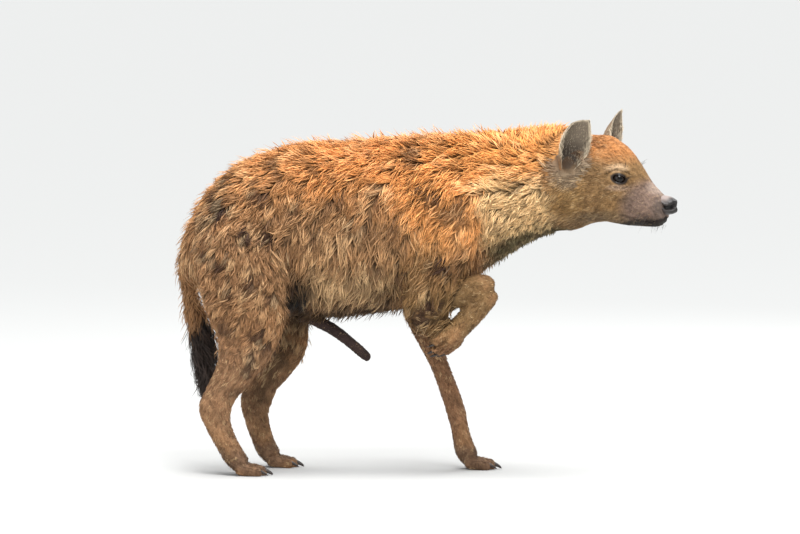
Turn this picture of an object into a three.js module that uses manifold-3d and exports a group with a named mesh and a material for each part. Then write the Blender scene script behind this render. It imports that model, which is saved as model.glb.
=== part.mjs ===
// Spotted hyena, life size, walking with the right forepaw lifted and the head turned to its right.
// Millimetres, +X towards the head, +Y to the animal's left, +Z up, soles on Z = 0.
import * as THREE from 'three';
import { mergeVertices } from 'three/addons/utils/BufferGeometryUtils.js';
import Module from 'manifold-3d';

const wasm = await Module();
wasm.setup();

// Driving dimensions.
const GAP = 0.3; // between pieces that touch
const SEAM = 0.45; // between the two faces of a thin cut across a limb or the neck
const TOLERANCE = 0.13; // by which faces that lie nearly flat may be joined
const FLOOR_CUT = 60; // depth of the block that cuts the soles flat

const HEAD_BASE = [330, -18]; // X and Y of the axis where head meets neck
const HEAD_YAW = -24; // degrees, head turned to the animal's right
const EYE = { along: 142, side: 47, z: 697, radius: 13.5, forward: 26 };
const LID = { thickness: 2.6, openLength: 30, openHeight: 18 };
const NOSE = { length: 38, rise: 26, drop: 22, side: 25.5, along: 231, z: 634 };
const NOSTRIL = { radius: 4, side: 10.5 };
const EAR = { height: 128, width: 72, thickness: 4, cup: 26, lean: 5, tuck: 16 };
const CONCHA = { wide: 22, tall: 44, deep: 17, rise: 30, sunk: 9 }; // hollow at the foot of an ear
const TOE = { length: 44, spacing: 18, radius: 15, claw: 17, sides: 5 };
const COAT = {
  coreReach: 0.5, // share of the coat's depth that the core fills under the locks
  rootSink: 9, // how deep a lock's root lies under the core's surface
  stagger: 6, // degrees by which the locks of a row stand to either side of it in turn
  seed: 7,
};
const COLOURS = {
  back: 0xb5743f, neck: 0xc79463, head: 0x9a7355, ear: 0x6f655c, eye: 0x1c1512, nose: 0x2a2627,
  leg: 0x83603f, foot: 0x6d4f3a, tail: 0x7d5a3e, brush: 0x2b2321, sheath: 0x3b2a2d,
};

// Small vector helpers.
const V = (x, y, z) => new THREE.Vector3(x, y, z);
const radians = THREE.MathUtils.degToRad;
const signedPower = (value, power) => Math.sign(value) * Math.abs(value) ** power;

/** Axes of a section plane: t along the limb, l across the body, u up or to the front. */
function axesOf(yaw, pitch) {
  const [a, p] = [radians(yaw), radians(pitch)];
  const t = V(Math.cos(p) * Math.cos(a), Math.cos(p) * Math.sin(a), Math.sin(p));
  const l = V(-Math.sin(a), Math.cos(a), 0);
  return { t, l, u: t.clone().cross(l) };
}

/** Axes turned about t by some degrees, from l towards u. */
function rolled({ t, l, u }, degrees) {
  const turn = radians(degrees);
  return { t, l: l.clone().applyAxisAngle(t, turn), u: u.clone().applyAxisAngle(t, turn) };
}

/** A line of stations whose numbers are read at any place between them on smooth curves. */
class Track {
  constructor(columns, rows) {
    this.columns = columns;
    this.rows = rows;
  }

  at(place) {
    const last = this.rows.length - 1;
    const index = Math.min(Math.max(Math.floor(place), 0), last - 1);
    const s = place - index;
    const row = (k) => this.rows[Math.min(Math.max(k, 0), last)];
    const [a, b, c, d] = [row(index - 1), row(index), row(index + 1), row(index + 2)];
    const station = {};
    this.columns.forEach((name, k) => {
      const [m0, m1] = [(c[k] - a[k]) / 2, (d[k] - b[k]) / 2];
      const s2 = s * s;
      const s3 = s2 * s;
      station[name] = (2 * s3 - 3 * s2 + 1) * b[k] + (s3 - 2 * s2 + s) * m0
        + (3 * s2 - 2 * s3) * c[k] + (s3 - s2) * m1;
    });
    return station;
  }

  get end() {
    return this.rows.length - 1;
  }
}

/** Centre and axes of a station. */
function placeOf(station) {
  const axes = axesOf(station.yaw ?? 0, station.pitch ?? 0);
  return { centre: V(station.x, station.y, station.z), ...axes };
}

/** Point of a station's outline at an angle: 0 is the left side, 90 degrees the top or front. */
function outlinePoint(station, angle, grow = 0, reach = 1) {
  const { centre, l, u } = placeOf(station);
  const [c, s] = [Math.cos(angle), Math.sin(angle)];
  const top = s > 0;
  const bare = 1 - reach;
  const side = station.side - (station.coatSide ?? 0) * bare + grow;
  const tall = top
    ? station.up - (station.coatUp ?? 0) * bare + grow
    : station.down - (station.coatDown ?? 0) * bare + grow;
  const power = 2 / (top ? station.roundUp ?? 2 : station.roundDown ?? 2);
  return centre.addScaledVector(l, side * signedPower(c, power))
    .addScaledVector(u, tall * signedPower(s, power));
}

/** Closed solid through rings of points. A ring of one point is a tip. */
function solidThrough(rings) {
  const points = [];
  const faces = [];
  const starts = rings.map((ring) => {
    const start = points.length;
    points.push(...ring);
    return start;
  });
  for (let r = 0; r + 1 < rings.length; r += 1) {
    const [n, m] = [rings[r].length, rings[r + 1].length];
    const count = Math.max(n, m);
    for (let k = 0; k < count; k += 1) {
      const next = (k + 1) % count;
      const [a, b] = [starts[r] + (k % n), starts[r] + (next % n)];
      const [c, d] = [starts[r + 1] + (k % m), starts[r + 1] + (next % m)];
      if (a !== b) faces.push([a, b, d]);
      if (c !== d) faces.push([a, d, c]);
    }
  }
  const close = (ring, start, flip) => {
    if (ring.length < 3) return;
    const middle = ring.reduce((sum, p) => sum.add(p), V(0, 0, 0)).divideScalar(ring.length);
    points.push(middle);
    ring.forEach((_, k) => {
      const pair = [start + k, start + ((k + 1) % ring.length)];
      faces.push(flip ? [points.length - 1, pair[1], pair[0]] : [points.length - 1, ...pair]);
    });
  };
  close(rings[0], starts[0], true);
  close(rings[rings.length - 1], starts[rings.length - 1], false);
  return manifoldOf(points, faces);
}

/** Solid of points and faces, turned so that its faces point out. */
function manifoldOf(points, faces) {
  let volume = 0;
  for (const [a, b, c] of faces) {
    volume += points[a].dot(points[b].clone().cross(points[c]));
  }
  const ordered = volume < 0 ? faces.map(([a, b, c]) => [a, c, b]) : faces;
  return new wasm.Manifold(new wasm.Mesh({
    numProp: 3,
    vertProperties: new Float32Array(points.flatMap((p) => p.toArray())),
    triVerts: new Uint32Array(ordered.flat()),
  }));
}

/** Solid of a closed three.js geometry. */
function manifoldFrom(geometry) {
  const bare = geometry.clone();
  bare.deleteAttribute('normal');
  bare.deleteAttribute('uv');
  const merged = mergeVertices(bare, 1e-4);
  return new wasm.Manifold(new wasm.Mesh({
    numProp: 3,
    vertProperties: new Float32Array(merged.attributes.position.array),
    triVerts: new Uint32Array(merged.index.array),
  }));
}

/** Loft along a track from one place to another, its ends moved in by a trim. */
function loft(track, options) {
  const { from = 0, to = track.end, steps, sides, grow = 0, reach = 1, trim = [0, 0], shape } = options;
  const rings = [];
  for (let i = 0; i <= steps; i += 1) {
    const station = track.at(from + ((to - from) * i) / steps);
    const { t } = placeOf(station);
    const shift = i === 0 ? trim[0] - grow : i === steps ? grow - trim[1] : 0;
    const ring = [];
    for (let k = 0; k < sides; k += 1) {
      const point = outlinePoint(station, (2 * Math.PI * k) / sides, grow, reach);
      if (shape) shape(point);
      ring.push(point.addScaledVector(t, shift));
    }
    rings.push(ring);
  }
  return solidThrough(rings);
}

/** Union of solids, kept to its largest closed surface. */
function fuse(solids) {
  const joined = solids.length > 1 ? wasm.Manifold.union(solids) : solids[0];
  return largest(joined);
}

function largest(solid) {
  const pieces = solid.decompose();
  return pieces.reduce((best, piece) => (piece.volume() > best.volume() ? piece : best));
}

/** Tube of a round section with few sides along a smooth curve. */
function rodAlong(points, radius, sides, steps) {
  const outline = new THREE.Shape();
  for (let k = 0; k < sides; k += 1) {
    const a = (2 * Math.PI * k) / sides;
    const [x, y] = [radius * Math.cos(a), radius * Math.sin(a)];
    if (k === 0) outline.moveTo(x, y);
    else outline.lineTo(x, y);
  }
  const extrudePath = new THREE.CatmullRomCurve3(points);
  return manifoldFrom(new THREE.ExtrudeGeometry(outline, { steps, extrudePath, bevelEnabled: false }));
}

// Trunk and neck: half sizes of the outline out to the tips of the coat, from rump to head.
const SPINE_COLUMNS = ['x', 'y', 'z', 'up', 'down', 'side', 'yaw', 'coatUp', 'coatSide', 'coatDown'];
const SPINE = new Track(SPINE_COLUMNS, [
  [-584, 0, 482, 30, 26, 30, 0, 10, 10, 8],
  [-571, 0, 490, 66, 46, 62, 0, 14, 12, 10],
  [-548, 0, 505, 104, 72, 92, 0, 18, 14, 12],
  [-512, 0, 524, 150, 108, 112, 0, 22, 16, 14],
  [-450, 0, 540, 190, 138, 126, 0, 26, 18, 16],
  [-380, 0, 548, 213, 155, 132, 0, 28, 18, 18],
  [-305, 0, 550, 231, 184, 134, 0, 28, 20, 24],
  [-215, 0, 550, 236, 190, 140, 0, 28, 20, 26],
  [-110, 0, 556, 238, 184, 140, 0, 30, 20, 26],
  [-20, 0, 562, 240, 174, 136, 0, 34, 20, 24],
  [60, 0, 578, 229, 172, 128, 0, 38, 20, 22],
  [120, 0, 612, 197, 146, 117, 0, 42, 20, 20],
  [180, -2, 642, 171, 136, 107, -3, 46, 20, 18],
  [240, -6, 664, 155, 128, 99, -7, 48, 20, 18],
  [292, -12, 678, 142, 124, 95, -14, 34, 16, 14],
  [330, -18, 686, 116, 118, 92, -24, 0, 0, 0],
]);
const CHEST = 11; // place on the spine where neck and torso part

// Head, in its own frame: place along its axis, heights above the floor and half width.
const HEAD_ROWS = [
  // along, top, widest level, bottom, half width, roundness above and below
  [0, 800, 684, 568, 92, 2.0, 2.0],
  [25, 797, 676, 577, 92, 2.0, 2.1],
  [50, 795, 670, 587, 91, 2.0, 2.2],
  [75, 795, 665, 592, 89, 2.0, 2.3],
  [100, 794, 660, 593, 84, 2.0, 2.4],
  [125, 781, 656, 589, 75, 2.0, 2.4],
  [150, 762, 652, 585, 63, 2.0, 2.4],
  [175, 732, 645, 584, 51, 1.9, 2.5],
  [200, 695, 637, 583, 43, 1.9, 2.5],
  [221, 672, 631, 585, 38, 1.9, 2.5],
  [236, 660, 628, 593, 31, 1.9, 2.4],
  [243, 653, 627, 603, 24, 2.0, 2.2],
];

/** World point of the head's own coordinates: along its axis, to its left, above the floor. */
function headPoint(along, side, z) {
  const { t, l } = axesOf(HEAD_YAW, 0);
  return V(HEAD_BASE[0], HEAD_BASE[1], 0).addScaledVector(t, along).addScaledVector(l, side)
    .setZ(z);
}

const HEAD = new Track(
  ['x', 'y', 'z', 'up', 'down', 'side', 'yaw', 'roundUp', 'roundDown'],
  HEAD_ROWS.map(([along, top, wide, bottom, side, roundUp, roundDown]) => {
    const p = headPoint(along, 0, wide);
    return [p.x, p.y, wide, top - wide, wide - bottom, side, HEAD_YAW, roundUp, roundDown];
  }),
);

// Swellings and hollows of the head: along, side, height, radius and depth, the same on both sides.
const HEAD_FORMS = [
  [150, 42, 716, 24, 5], // brow
  [168, 50, 684, 17, -6], // hollow before the eye
  [108, 88, 664, 34, 4], // cheekbone
  [112, 66, 742, 30, -5], // temple
  [60, 86, 620, 34, 4], // jaw muscle
  [214, 42, 622, 20, 4], // whisker pad
  [200, 30, 664, 22, -4], // side of the nose bridge
  [140, 62, 612, 24, -3], // corner of the mouth
];

function shapeHead(point) {
  const { l } = axesOf(HEAD_YAW, 0);
  for (const [along, side, z, radius, depth] of HEAD_FORMS) {
    for (const hand of [-1, 1]) {
      const distance = point.distanceTo(headPoint(along, side * hand, z));
      const weight = Math.exp(-((distance / radius) ** 2));
      point.addScaledVector(l, hand * depth * weight);
    }
  }
}

// Legs: centre, slope of the axis, half depth to the front and back, half width, coat depth.
const LEG_COLUMNS = ['x', 'y', 'z', 'pitch', 'up', 'down', 'side', 'coatUp', 'coatDown', 'coatSide'];
const FORE_RIGHT_UPPER = new Track(LEG_COLUMNS, [
  [112, -66, 716, -100, 34, 44, 20, 8, 8, 8],
  [92, -86, 660, -102, 54, 78, 42, 12, 12, 10],
  [68, -98, 590, -106, 62, 92, 52, 16, 16, 12],
  [44, -104, 515, -108, 62, 86, 54, 20, 18, 14],
  [18, -107, 445, -108, 56, 74, 50, 22, 20, 14],
  [0, -107, 395, -106, 62, 60, 42, 20, 18, 12],
  [-12, -106, 358, -104, 54, 42, 30, 14, 14, 8],
  [-18, -105, 336, -104, 32, 20, 14, 6, 6, 4],
]);
const FORE_RIGHT_LOWER = new Track(LEG_COLUMNS, [
  [-52, -104, 388, 12, 18, 18, 16, 0, 0, 0],
  [-38, -104, 392, 12, 33, 33, 30, 0, 0, 0],
  [5, -106, 404, 15, 36, 36, 33, 0, 0, 0],
  [60, -108, 423, 18, 32, 31, 30, 0, 0, 0],
  [106, -109, 440, 14, 33, 30, 29, 0, 0, 0],
  [134, -109, 446, 0, 27, 26, 26, 0, 0, 0],
  [150, -109, 446, -10, 13, 14, 13, 0, 0, 0],
]);
const FORE_RIGHT_FOOT = new Track(LEG_COLUMNS, [
  [152, -109, 430, -120, 10, 12, 12, 0, 0, 0],
  [143, -109, 420, -122, 20, 26, 24, 0, 0, 0],
  [116, -109, 396, -130, 27, 30, 28, 0, 0, 0],
  [84, -108, 362, -133, 27, 28, 30, 0, 0, 0],
  [58, -108, 334, -133, 25, 28, 32, 0, 0, 0],
  [40, -108, 315, -133, 21, 24, 29, 0, 0, 0],
]);
const FORE_LEFT = new Track(LEG_COLUMNS, [
  [100, 66, 716, -100, 34, 44, 20, 8, 8, 8],
  [82, 86, 660, -102, 54, 78, 42, 12, 12, 10],
  [58, 98, 590, -108, 60, 88, 52, 16, 16, 12],
  [26, 102, 515, -112, 58, 78, 52, 18, 18, 12],
  [-10, 98, 440, -104, 50, 58, 44, 14, 14, 10],
  [-26, 90, 385, -82, 42, 42, 37, 0, 0, 0],
  [-8, 80, 322, -68, 32, 32, 31, 0, 0, 0],
  [21, 68, 250, -68, 24, 24, 25, 0, 0, 0],
  [48, 56, 180, -72, 24, 25, 25, 0, 0, 0],
  [60, 50, 142, -76, 25, 24, 26, 0, 0, 0],
  [72, 44, 92, -72, 22, 22, 26, 0, 0, 0],
  [88, 40, 50, -52, 20, 32, 34, 0, 0, 0],
  [108, 40, 27, -14, 16, 30, 34, 0, 0, 0],
]);
const HIND_RIGHT = new Track(LEG_COLUMNS, [
  [-436, -46, 668, -90, 40, 40, 16, 8, 8, 8],
  [-438, -72, 618, -90, 74, 72, 36, 12, 12, 10],
  [-442, -94, 550, -90, 102, 106, 54, 14, 16, 12],
  [-440, -102, 480, -90, 110, 110, 58, 14, 16, 12],
  [-434, -106, 415, -92, 103, 108, 56, 14, 16, 12],
  [-428, -107, 356, -96, 90, 92, 47, 8, 9, 6],
  [-436, -107, 296, -112, 66, 66, 40, 0, 0, 0],
  [-462, -107, 236, -121, 46, 46, 35, 0, 0, 0],
  [-489, -107, 190, -116, 38, 40, 30, 0, 0, 0],
  [-502, -107, 154, -98, 38, 43, 28, 0, 0, 0],
  [-494, -106, 114, -72, 30, 32, 26, 0, 0, 0],
  [-475, -105, 74, -62, 26, 28, 27, 0, 0, 0],
  [-454, -105, 46, -46, 21, 32, 33, 0, 0, 0],
  [-430, -105, 26, -12, 15, 29, 33, 0, 0, 0],
]);
const HIND_LEFT = new Track(LEG_COLUMNS, [
  [-420, 54, 672, -90, 46, 46, 18, 8, 8, 8],
  [-410, 78, 620, -88, 78, 80, 40, 12, 12, 10],
  [-396, 94, 550, -86, 100, 106, 54, 14, 16, 12],
  [-382, 102, 480, -86, 104, 110, 58, 14, 16, 12],
  [-372, 106, 415, -88, 96, 106, 56, 14, 16, 12],
  [-362, 106, 352, -94, 80, 88, 47, 8, 9, 6],
  [-350, 105, 292, -108, 60, 62, 40, 0, 0, 0],
  [-370, 104, 238, -117, 46, 46, 34, 0, 0, 0],
  [-395, 102, 196, -112, 38, 40, 30, 0, 0, 0],
  [-410, 100, 156, -96, 38, 42, 28, 0, 0, 0],
  [-410, 98, 114, -76, 30, 31, 26, 0, 0, 0],
  [-398, 96, 74, -66, 26, 28, 27, 0, 0, 0],
  [-382, 95, 46, -46, 21, 32, 33, 0, 0, 0],
  [-360, 95, 26, -12, 15, 29, 33, 0, 0, 0],
]);

// Tail, from its root down to the tip of the brush.
const TAIL = new Track(LEG_COLUMNS, [
  [-548, 0, 520, -150, 22, 22, 20, 4, 4, 4],
  [-566, 0, 498, -110, 24, 24, 24, 5, 5, 5],
  [-573, 0, 462, -92, 21, 20, 21, 6, 6, 6],
  [-566, 0, 425, -84, 18, 17, 17, 6, 6, 6],
  [-556, 0, 375, -78, 24, 21, 20, 10, 10, 8],
  [-542, 0, 325, -76, 36, 28, 27, 20, 16, 16],
  [-534, 0, 280, -80, 36, 32, 28, 24, 20, 18],
  [-530, 0, 235, -88, 24, 24, 20, 16, 16, 14],
  [-529, 0, 200, -90, 11, 13, 10, 7, 8, 6],
  [-529, 0, 178, -90, 3, 4, 3, 1, 1, 1],
]);
const BRUSH = 4; // place on the tail where the dark brush begins

const SHEATH = new Track(LEG_COLUMNS, [
  [-318, 0, 390, -36, 17, 17, 17, 0, 0, 0],
  [-272, 0, 358, -32, 16, 16, 17, 0, 0, 0],
  [-228, 0, 334, -34, 15, 15, 16, 0, 0, 0],
  [-186, 0, 302, -40, 14, 14, 14, 0, 0, 0],
  [-152, 0, 272, -44, 13, 13, 13, 0, 0, 0],
  [-142, 0, 263, -44, 9, 9, 9, 0, 0, 0],
]);

/** Directions of an ear: to its tip, out of its cup, and across it. */
function earAxes({ rise, opening }) {
  const up = rise.clone().normalize();
  const front = opening.clone().addScaledVector(up, -opening.dot(up)).normalize();
  return { up, front, across: up.clone().cross(front) };
}

/** Hollow in the head where an ear's cup goes down into it. */
function concha(ear) {
  const { up, front, across } = earAxes(ear);
  const centre = ear.base.clone().addScaledVector(up, CONCHA.rise).addScaledVector(front, -CONCHA.sunk);
  const hollow = new THREE.SphereGeometry(1, 8, 6).scale(CONCHA.wide, CONCHA.tall, CONCHA.deep);
  hollow.applyMatrix4(new THREE.Matrix4().makeBasis(across, up, front).setPosition(centre));
  return manifoldFrom(hollow);
}

/** Cupped ear: a bent leaf with the same triangles inside and outside. */
function earShell(ear, grow = 0) {
  const { up, front, across } = earAxes(ear);
  const { base, slant } = ear;
  const [rows, columns] = [6, 8];
  const sheet = (depth) => {
    const grid = [];
    for (let i = 0; i <= rows; i += 1) {
      const v = i / rows;
      const radius = (EAR.width / 2) * (0.45 + 0.17 * v + 0.5 * Math.sin(Math.PI * v)) - depth;
      const wrap = radians(118 - 64 * v);
      for (let j = 0; j <= columns; j += 1) {
        const u = (2 * j) / columns - 1;
        const tall = 1 - slant * v * ((1 - u) / 2) ** 1.4;
        const point = base.clone()
          .addScaledVector(up, EAR.height * v * tall - 10)
          .addScaledVector(across, (radius * Math.sin(u * wrap)) / Math.max(Math.sin(wrap), 0.8))
          .addScaledVector(across, EAR.lean * v * v)
          .addScaledVector(front, -radius * (Math.cos(u * wrap) - 0.2) * (EAR.cup / 30))
          .addScaledVector(front, -EAR.tuck * (1 - v) ** 2);
        grid.push(point);
      }
    }
    return grid;
  };
  const outer = sheet(-grow);
  const inner = sheet(EAR.thickness + grow);
  const points = [...outer, ...inner];
  const width = columns + 1;
  const faces = [];
  for (let i = 0; i < rows; i += 1) {
    for (let j = 0; j < columns; j += 1) {
      const a = i * width + j;
      const [b, c, d] = [a + 1, a + width + 1, a + width];
      const off = outer.length;
      faces.push([a, b, c], [a, c, d]);
      faces.push([a + off, c + off, b + off], [a + off, d + off, c + off]);
    }
  }
  const wall = (a, b) => {
    const off = outer.length;
    faces.push([b, a, a + off], [b, a + off, b + off]);
  };
  for (let j = 0; j < columns; j += 1) {
    wall(j, j + 1);
    wall(rows * width + j + 1, rows * width + j);
  }
  for (let i = 0; i < rows; i += 1) {
    wall((i + 1) * width, i * width);
    wall(i * width + columns, (i + 1) * width + columns);
  }
  return manifoldOf(points, faces);
}

const EARS = {
  right: {
    base: headPoint(35, -90, 722), rise: V(0.22, -0.16, 1), opening: V(0.42, -0.9, 0.1), slant: 0.11,
  },
  left: {
    base: headPoint(66, 76, 742), rise: V(0.2, 0.2, 1), opening: V(0.94, -0.3, 0.1), slant: 0.5,
  },
};

/** A toe with its pad and blunt claw, from the knuckle forwards. */
function toe({ knuckle, t, l, u }, grow) {
  const profile = [
    [-0.4, 0.8, 0.9], [0.45, 1, 1.06], [1, 0.5, 0.6],
  ];
  const ringOf = (centre, wide, tall, sides) => Array.from({ length: sides }, (_, k) => {
    const a = (2 * Math.PI * (k + 0.5)) / sides;
    return centre.clone().addScaledVector(l, (wide + grow) * Math.cos(a))
      .addScaledVector(u, (tall + grow) * Math.sin(a));
  });
  const along = (s, drop) => knuckle.clone().addScaledVector(t, s * TOE.length).addScaledVector(u, -drop);
  const rings = profile.map(([s, tall, wide]) => (
    ringOf(along(s, 5 * s * s), TOE.radius * 0.66 * wide, TOE.radius * tall, TOE.sides)));
  const claw = [ringOf(along(0.8, 1.5), 3.5, 5, 4), [along(1 + TOE.claw / TOE.length, 8)]];
  return [solidThrough(rings), solidThrough(claw)];
}

/** The four toes at the end of a leg. */
function toes(track, { slope, reach = 0, rise = 0, turn = 0, roll = 0 }, grow = 0) {
  const end = track.at(track.end);
  const { centre } = placeOf(end);
  const { t, l, u } = rolled(axesOf(turn, slope), roll);
  const solids = [];
  for (const place of [-1.5, -0.5, 0.5, 1.5]) {
    const outer = Math.abs(place) > 1;
    const knuckle = centre.clone().addScaledVector(l, place * TOE.spacing)
      .addScaledVector(t, reach - (outer ? 11 : 0)).addScaledVector(u, rise);
    const splay = rolled(axesOf(turn + place * 5, slope), roll);
    solids.push(...toe({ knuckle, ...splay }, grow));
  }
  return solids;
}

/** Everything above the floor. */
function aboveFloor(solid, level = 0) {
  const block = new THREE.BoxGeometry(2400, 1200, FLOOR_CUT).translate(0, 0, level - FLOOR_CUT / 2);
  return solid.subtract(manifoldFrom(block));
}

/** Repeatable draw of numbers from -1 to 1. */
function drawFrom(seed) {
  let state = seed * 7919;
  return () => {
    state = (state * 16807) % 2147483647;
    return (state / 2147483647) * 2 - 1;
  };
}

/** Point and axes on the core under the coat. */
function coatPlace(track, place, angle) {
  const turn = radians(angle);
  const at = (q, a) => outlinePoint(track.at(q), a, 0, COAT.coreReach);
  const point = at(place, turn);
  const along = at(place + 0.03, turn).sub(at(place - 0.03, turn)).normalize();
  const round = at(place, turn + 0.03).sub(at(place, turn - 0.03)).normalize();
  return { point, along, round, out: round.clone().cross(along).normalize() };
}

/** Rows of locks on a track: where each starts, where its tip lies, and its size. */
function lockRows(track, rows, seed) {
  const draw = drawFrom(seed);
  const locks = [];
  for (const [first, last, count, angle, alongTo, roundTo, wide, thick, rise] of rows) {
    for (let k = 0; k < count; k += 1) {
      const share = count > 1 ? k / (count - 1) : 0.5;
      const place = first + (last - first) * share + 0.12 * draw();
      const start = angle + (k % 2 ? COAT.stagger : -COAT.stagger) + 2 * draw();
      locks.push({
        track,
        place,
        angle: start,
        placeTo: place + alongTo * (1 + 0.22 * draw()),
        angleTo: start + roundTo + 6 * draw(),
        wide: wide * (1 + 0.18 * draw()),
        thick: thick * (1 + 0.12 * draw()),
        rise: rise * (1 + 0.22 * draw()),
      });
    }
  }
  return locks;
}

/** A flat, tapered, bent lock that follows the core, its root sunk and its tip standing clear. */
function lockSolid(lock, grow) {
  const profile = [[0, 0.75, 1], [0.36, 1, 0.9], [0.74, 0.66, 0.6], [1, 0, 0]];
  const centres = profile.map(([s]) => {
    const place = lock.place + (lock.placeTo - lock.place) * s;
    const angle = lock.angle + (lock.angleTo - lock.angle) * s ** 1.3;
    const { point, out } = coatPlace(lock.track, place, angle);
    const height = -COAT.rootSink + (COAT.rootSink + lock.rise) * s ** 0.5;
    return { centre: point.addScaledVector(out, height), out };
  });
  const rings = profile.map(([s, wide, thick], index) => {
    const { centre, out } = centres[index];
    if (s === 1) {
      const back = centre.clone().sub(centres[index - 1].centre).normalize();
      return [centre.clone().addScaledVector(back, grow * 4)];
    }
    const next = centres[index + 1].centre.clone().sub(centre).normalize();
    const across = next.clone().cross(out).normalize();
    const over = across.clone().cross(next).normalize();
    const halfWide = (lock.wide / 2) * wide + grow * 3.5;
    const halfThick = (lock.thick / 2) * thick + grow * 1.2;
    return [[across, halfWide], [over, halfThick], [across, -halfWide], [over, -halfThick]]
      .map(([axis, size]) => centre.clone().addScaledVector(axis, size));
  });
  if (grow > 0) {
    const ahead = centres[1].centre.clone().sub(centres[0].centre).normalize();
    rings[0].forEach((point) => point.addScaledVector(ahead, -grow));
  }
  return solidThrough(rings);
}

/** A core with its locks. */
function coated(track, options, locks) {
  return fuse([
    loft(track, { ...options, reach: COAT.coreReach }),
    ...locks.map((lock) => lockSolid(lock, options.grow)),
  ]);
}

function eyeBall(hand, grow = 0) {
  const { x, y, z } = headPoint(EYE.along, EYE.side * hand, EYE.z);
  return manifoldFrom(new THREE.SphereGeometry(EYE.radius + grow, 12, 8).translate(x, y, z));
}

/** Lids: a close cap over the eye. */
function lidCap(hand) {
  const { x, y, z } = headPoint(EYE.along, EYE.side * hand, EYE.z);
  return manifoldFrom(new THREE.SphereGeometry(EYE.radius + LID.thickness, 12, 8).translate(x, y, z));
}

/** The almond that opens the lids, looking out and forward. */
function lidOpening(hand) {
  const almond = new THREE.Shape();
  const [a, b] = [LID.openLength / 2, LID.openHeight / 2];
  almond.moveTo(-a, 0);
  almond.quadraticCurveTo(0, b * 2, a, -2);
  almond.quadraticCurveTo(0, -b * 1.9, -a, 0);
  const block = new THREE.ExtrudeGeometry(almond, {
    depth: 40, steps: 1, bevelEnabled: false, curveSegments: 4,
  });
  const { t, l } = axesOf(HEAD_YAW, 0);
  const turn = radians(EYE.forward);
  const out = l.clone().multiplyScalar(hand * Math.cos(turn)).addScaledVector(t, Math.sin(turn));
  const up = V(0, 0, 1);
  block.applyMatrix4(new THREE.Matrix4().makeBasis(up.clone().cross(out), up, out));
  const { x, y, z } = headPoint(EYE.along, EYE.side * hand, EYE.z);
  block.translate(x, y, z);
  return manifoldFrom(block);
}

/** Line of the mouth, from one corner round the front to the other. */
function mouthGroove() {
  const half = [
    [150, 611], [170, 605], [195, 598], [218, 596], [234, 600],
  ];
  const sideAt = (along, z) => {
    const place = HEAD_ROWS.findIndex((row) => row[0] > along) - 1;
    const [a, b] = [HEAD_ROWS[place], HEAD_ROWS[place + 1]];
    const share = (along - a[0]) / (b[0] - a[0]);
    const mix = (k) => a[k] + (b[k] - a[k]) * share;
    const ratio = Math.min((mix(2) - z) / (mix(2) - mix(3)), 0.97);
    return mix(4) * (1 - ratio ** mix(6)) ** (1 / mix(6));
  };
  const right = half.map(([along, z]) => headPoint(along, -sideAt(along, z), z));
  const left = half.map(([along, z]) => headPoint(along, sideAt(along, z), z)).reverse();
  return rodAlong([...right, headPoint(243, 0, 608), ...left], 2.4, 4, 14);
}

function noseSolid(grow = 0) {
  const sizes = [
    [0, 0.88, 0.9], [0.35, 1, 1], [0.7, 0.92, 0.92], [0.93, 0.68, 0.68], [1, 0.38, 0.38],
  ];
  const rows = sizes.map(([s, tall, wide], index) => {
    const p = headPoint(NOSE.along + NOSE.length * s, 0, NOSE.z + 2 - 4 * s);
    const end = index === 0 ? -grow : 0;
    const shift = headPoint(end, 0, 0).sub(headPoint(0, 0, 0));
    return [p.x + shift.x, p.y + shift.y, p.z, NOSE.rise * tall, NOSE.drop * tall, NOSE.side * wide,
      HEAD_YAW];
  });
  const track = new Track(['x', 'y', 'z', 'up', 'down', 'side', 'yaw'], rows);
  return loft(track, { steps: 6, sides: 12, grow });
}

function nostrils() {
  return [-1, 1].map((hand) => rodAlong([
    headPoint(NOSE.along - 2, hand * (NOSE.side + 4), NOSE.z + 7),
    headPoint(NOSE.along + 8, hand * (NOSE.side + 1), NOSE.z - 5),
    headPoint(NOSE.along + 19, hand * (NOSTRIL.side + 3), NOSE.z - 7),
    headPoint(NOSE.along + 40, hand * NOSTRIL.side, NOSE.z - 2),
  ], NOSTRIL.radius, 5, 6));
}

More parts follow.
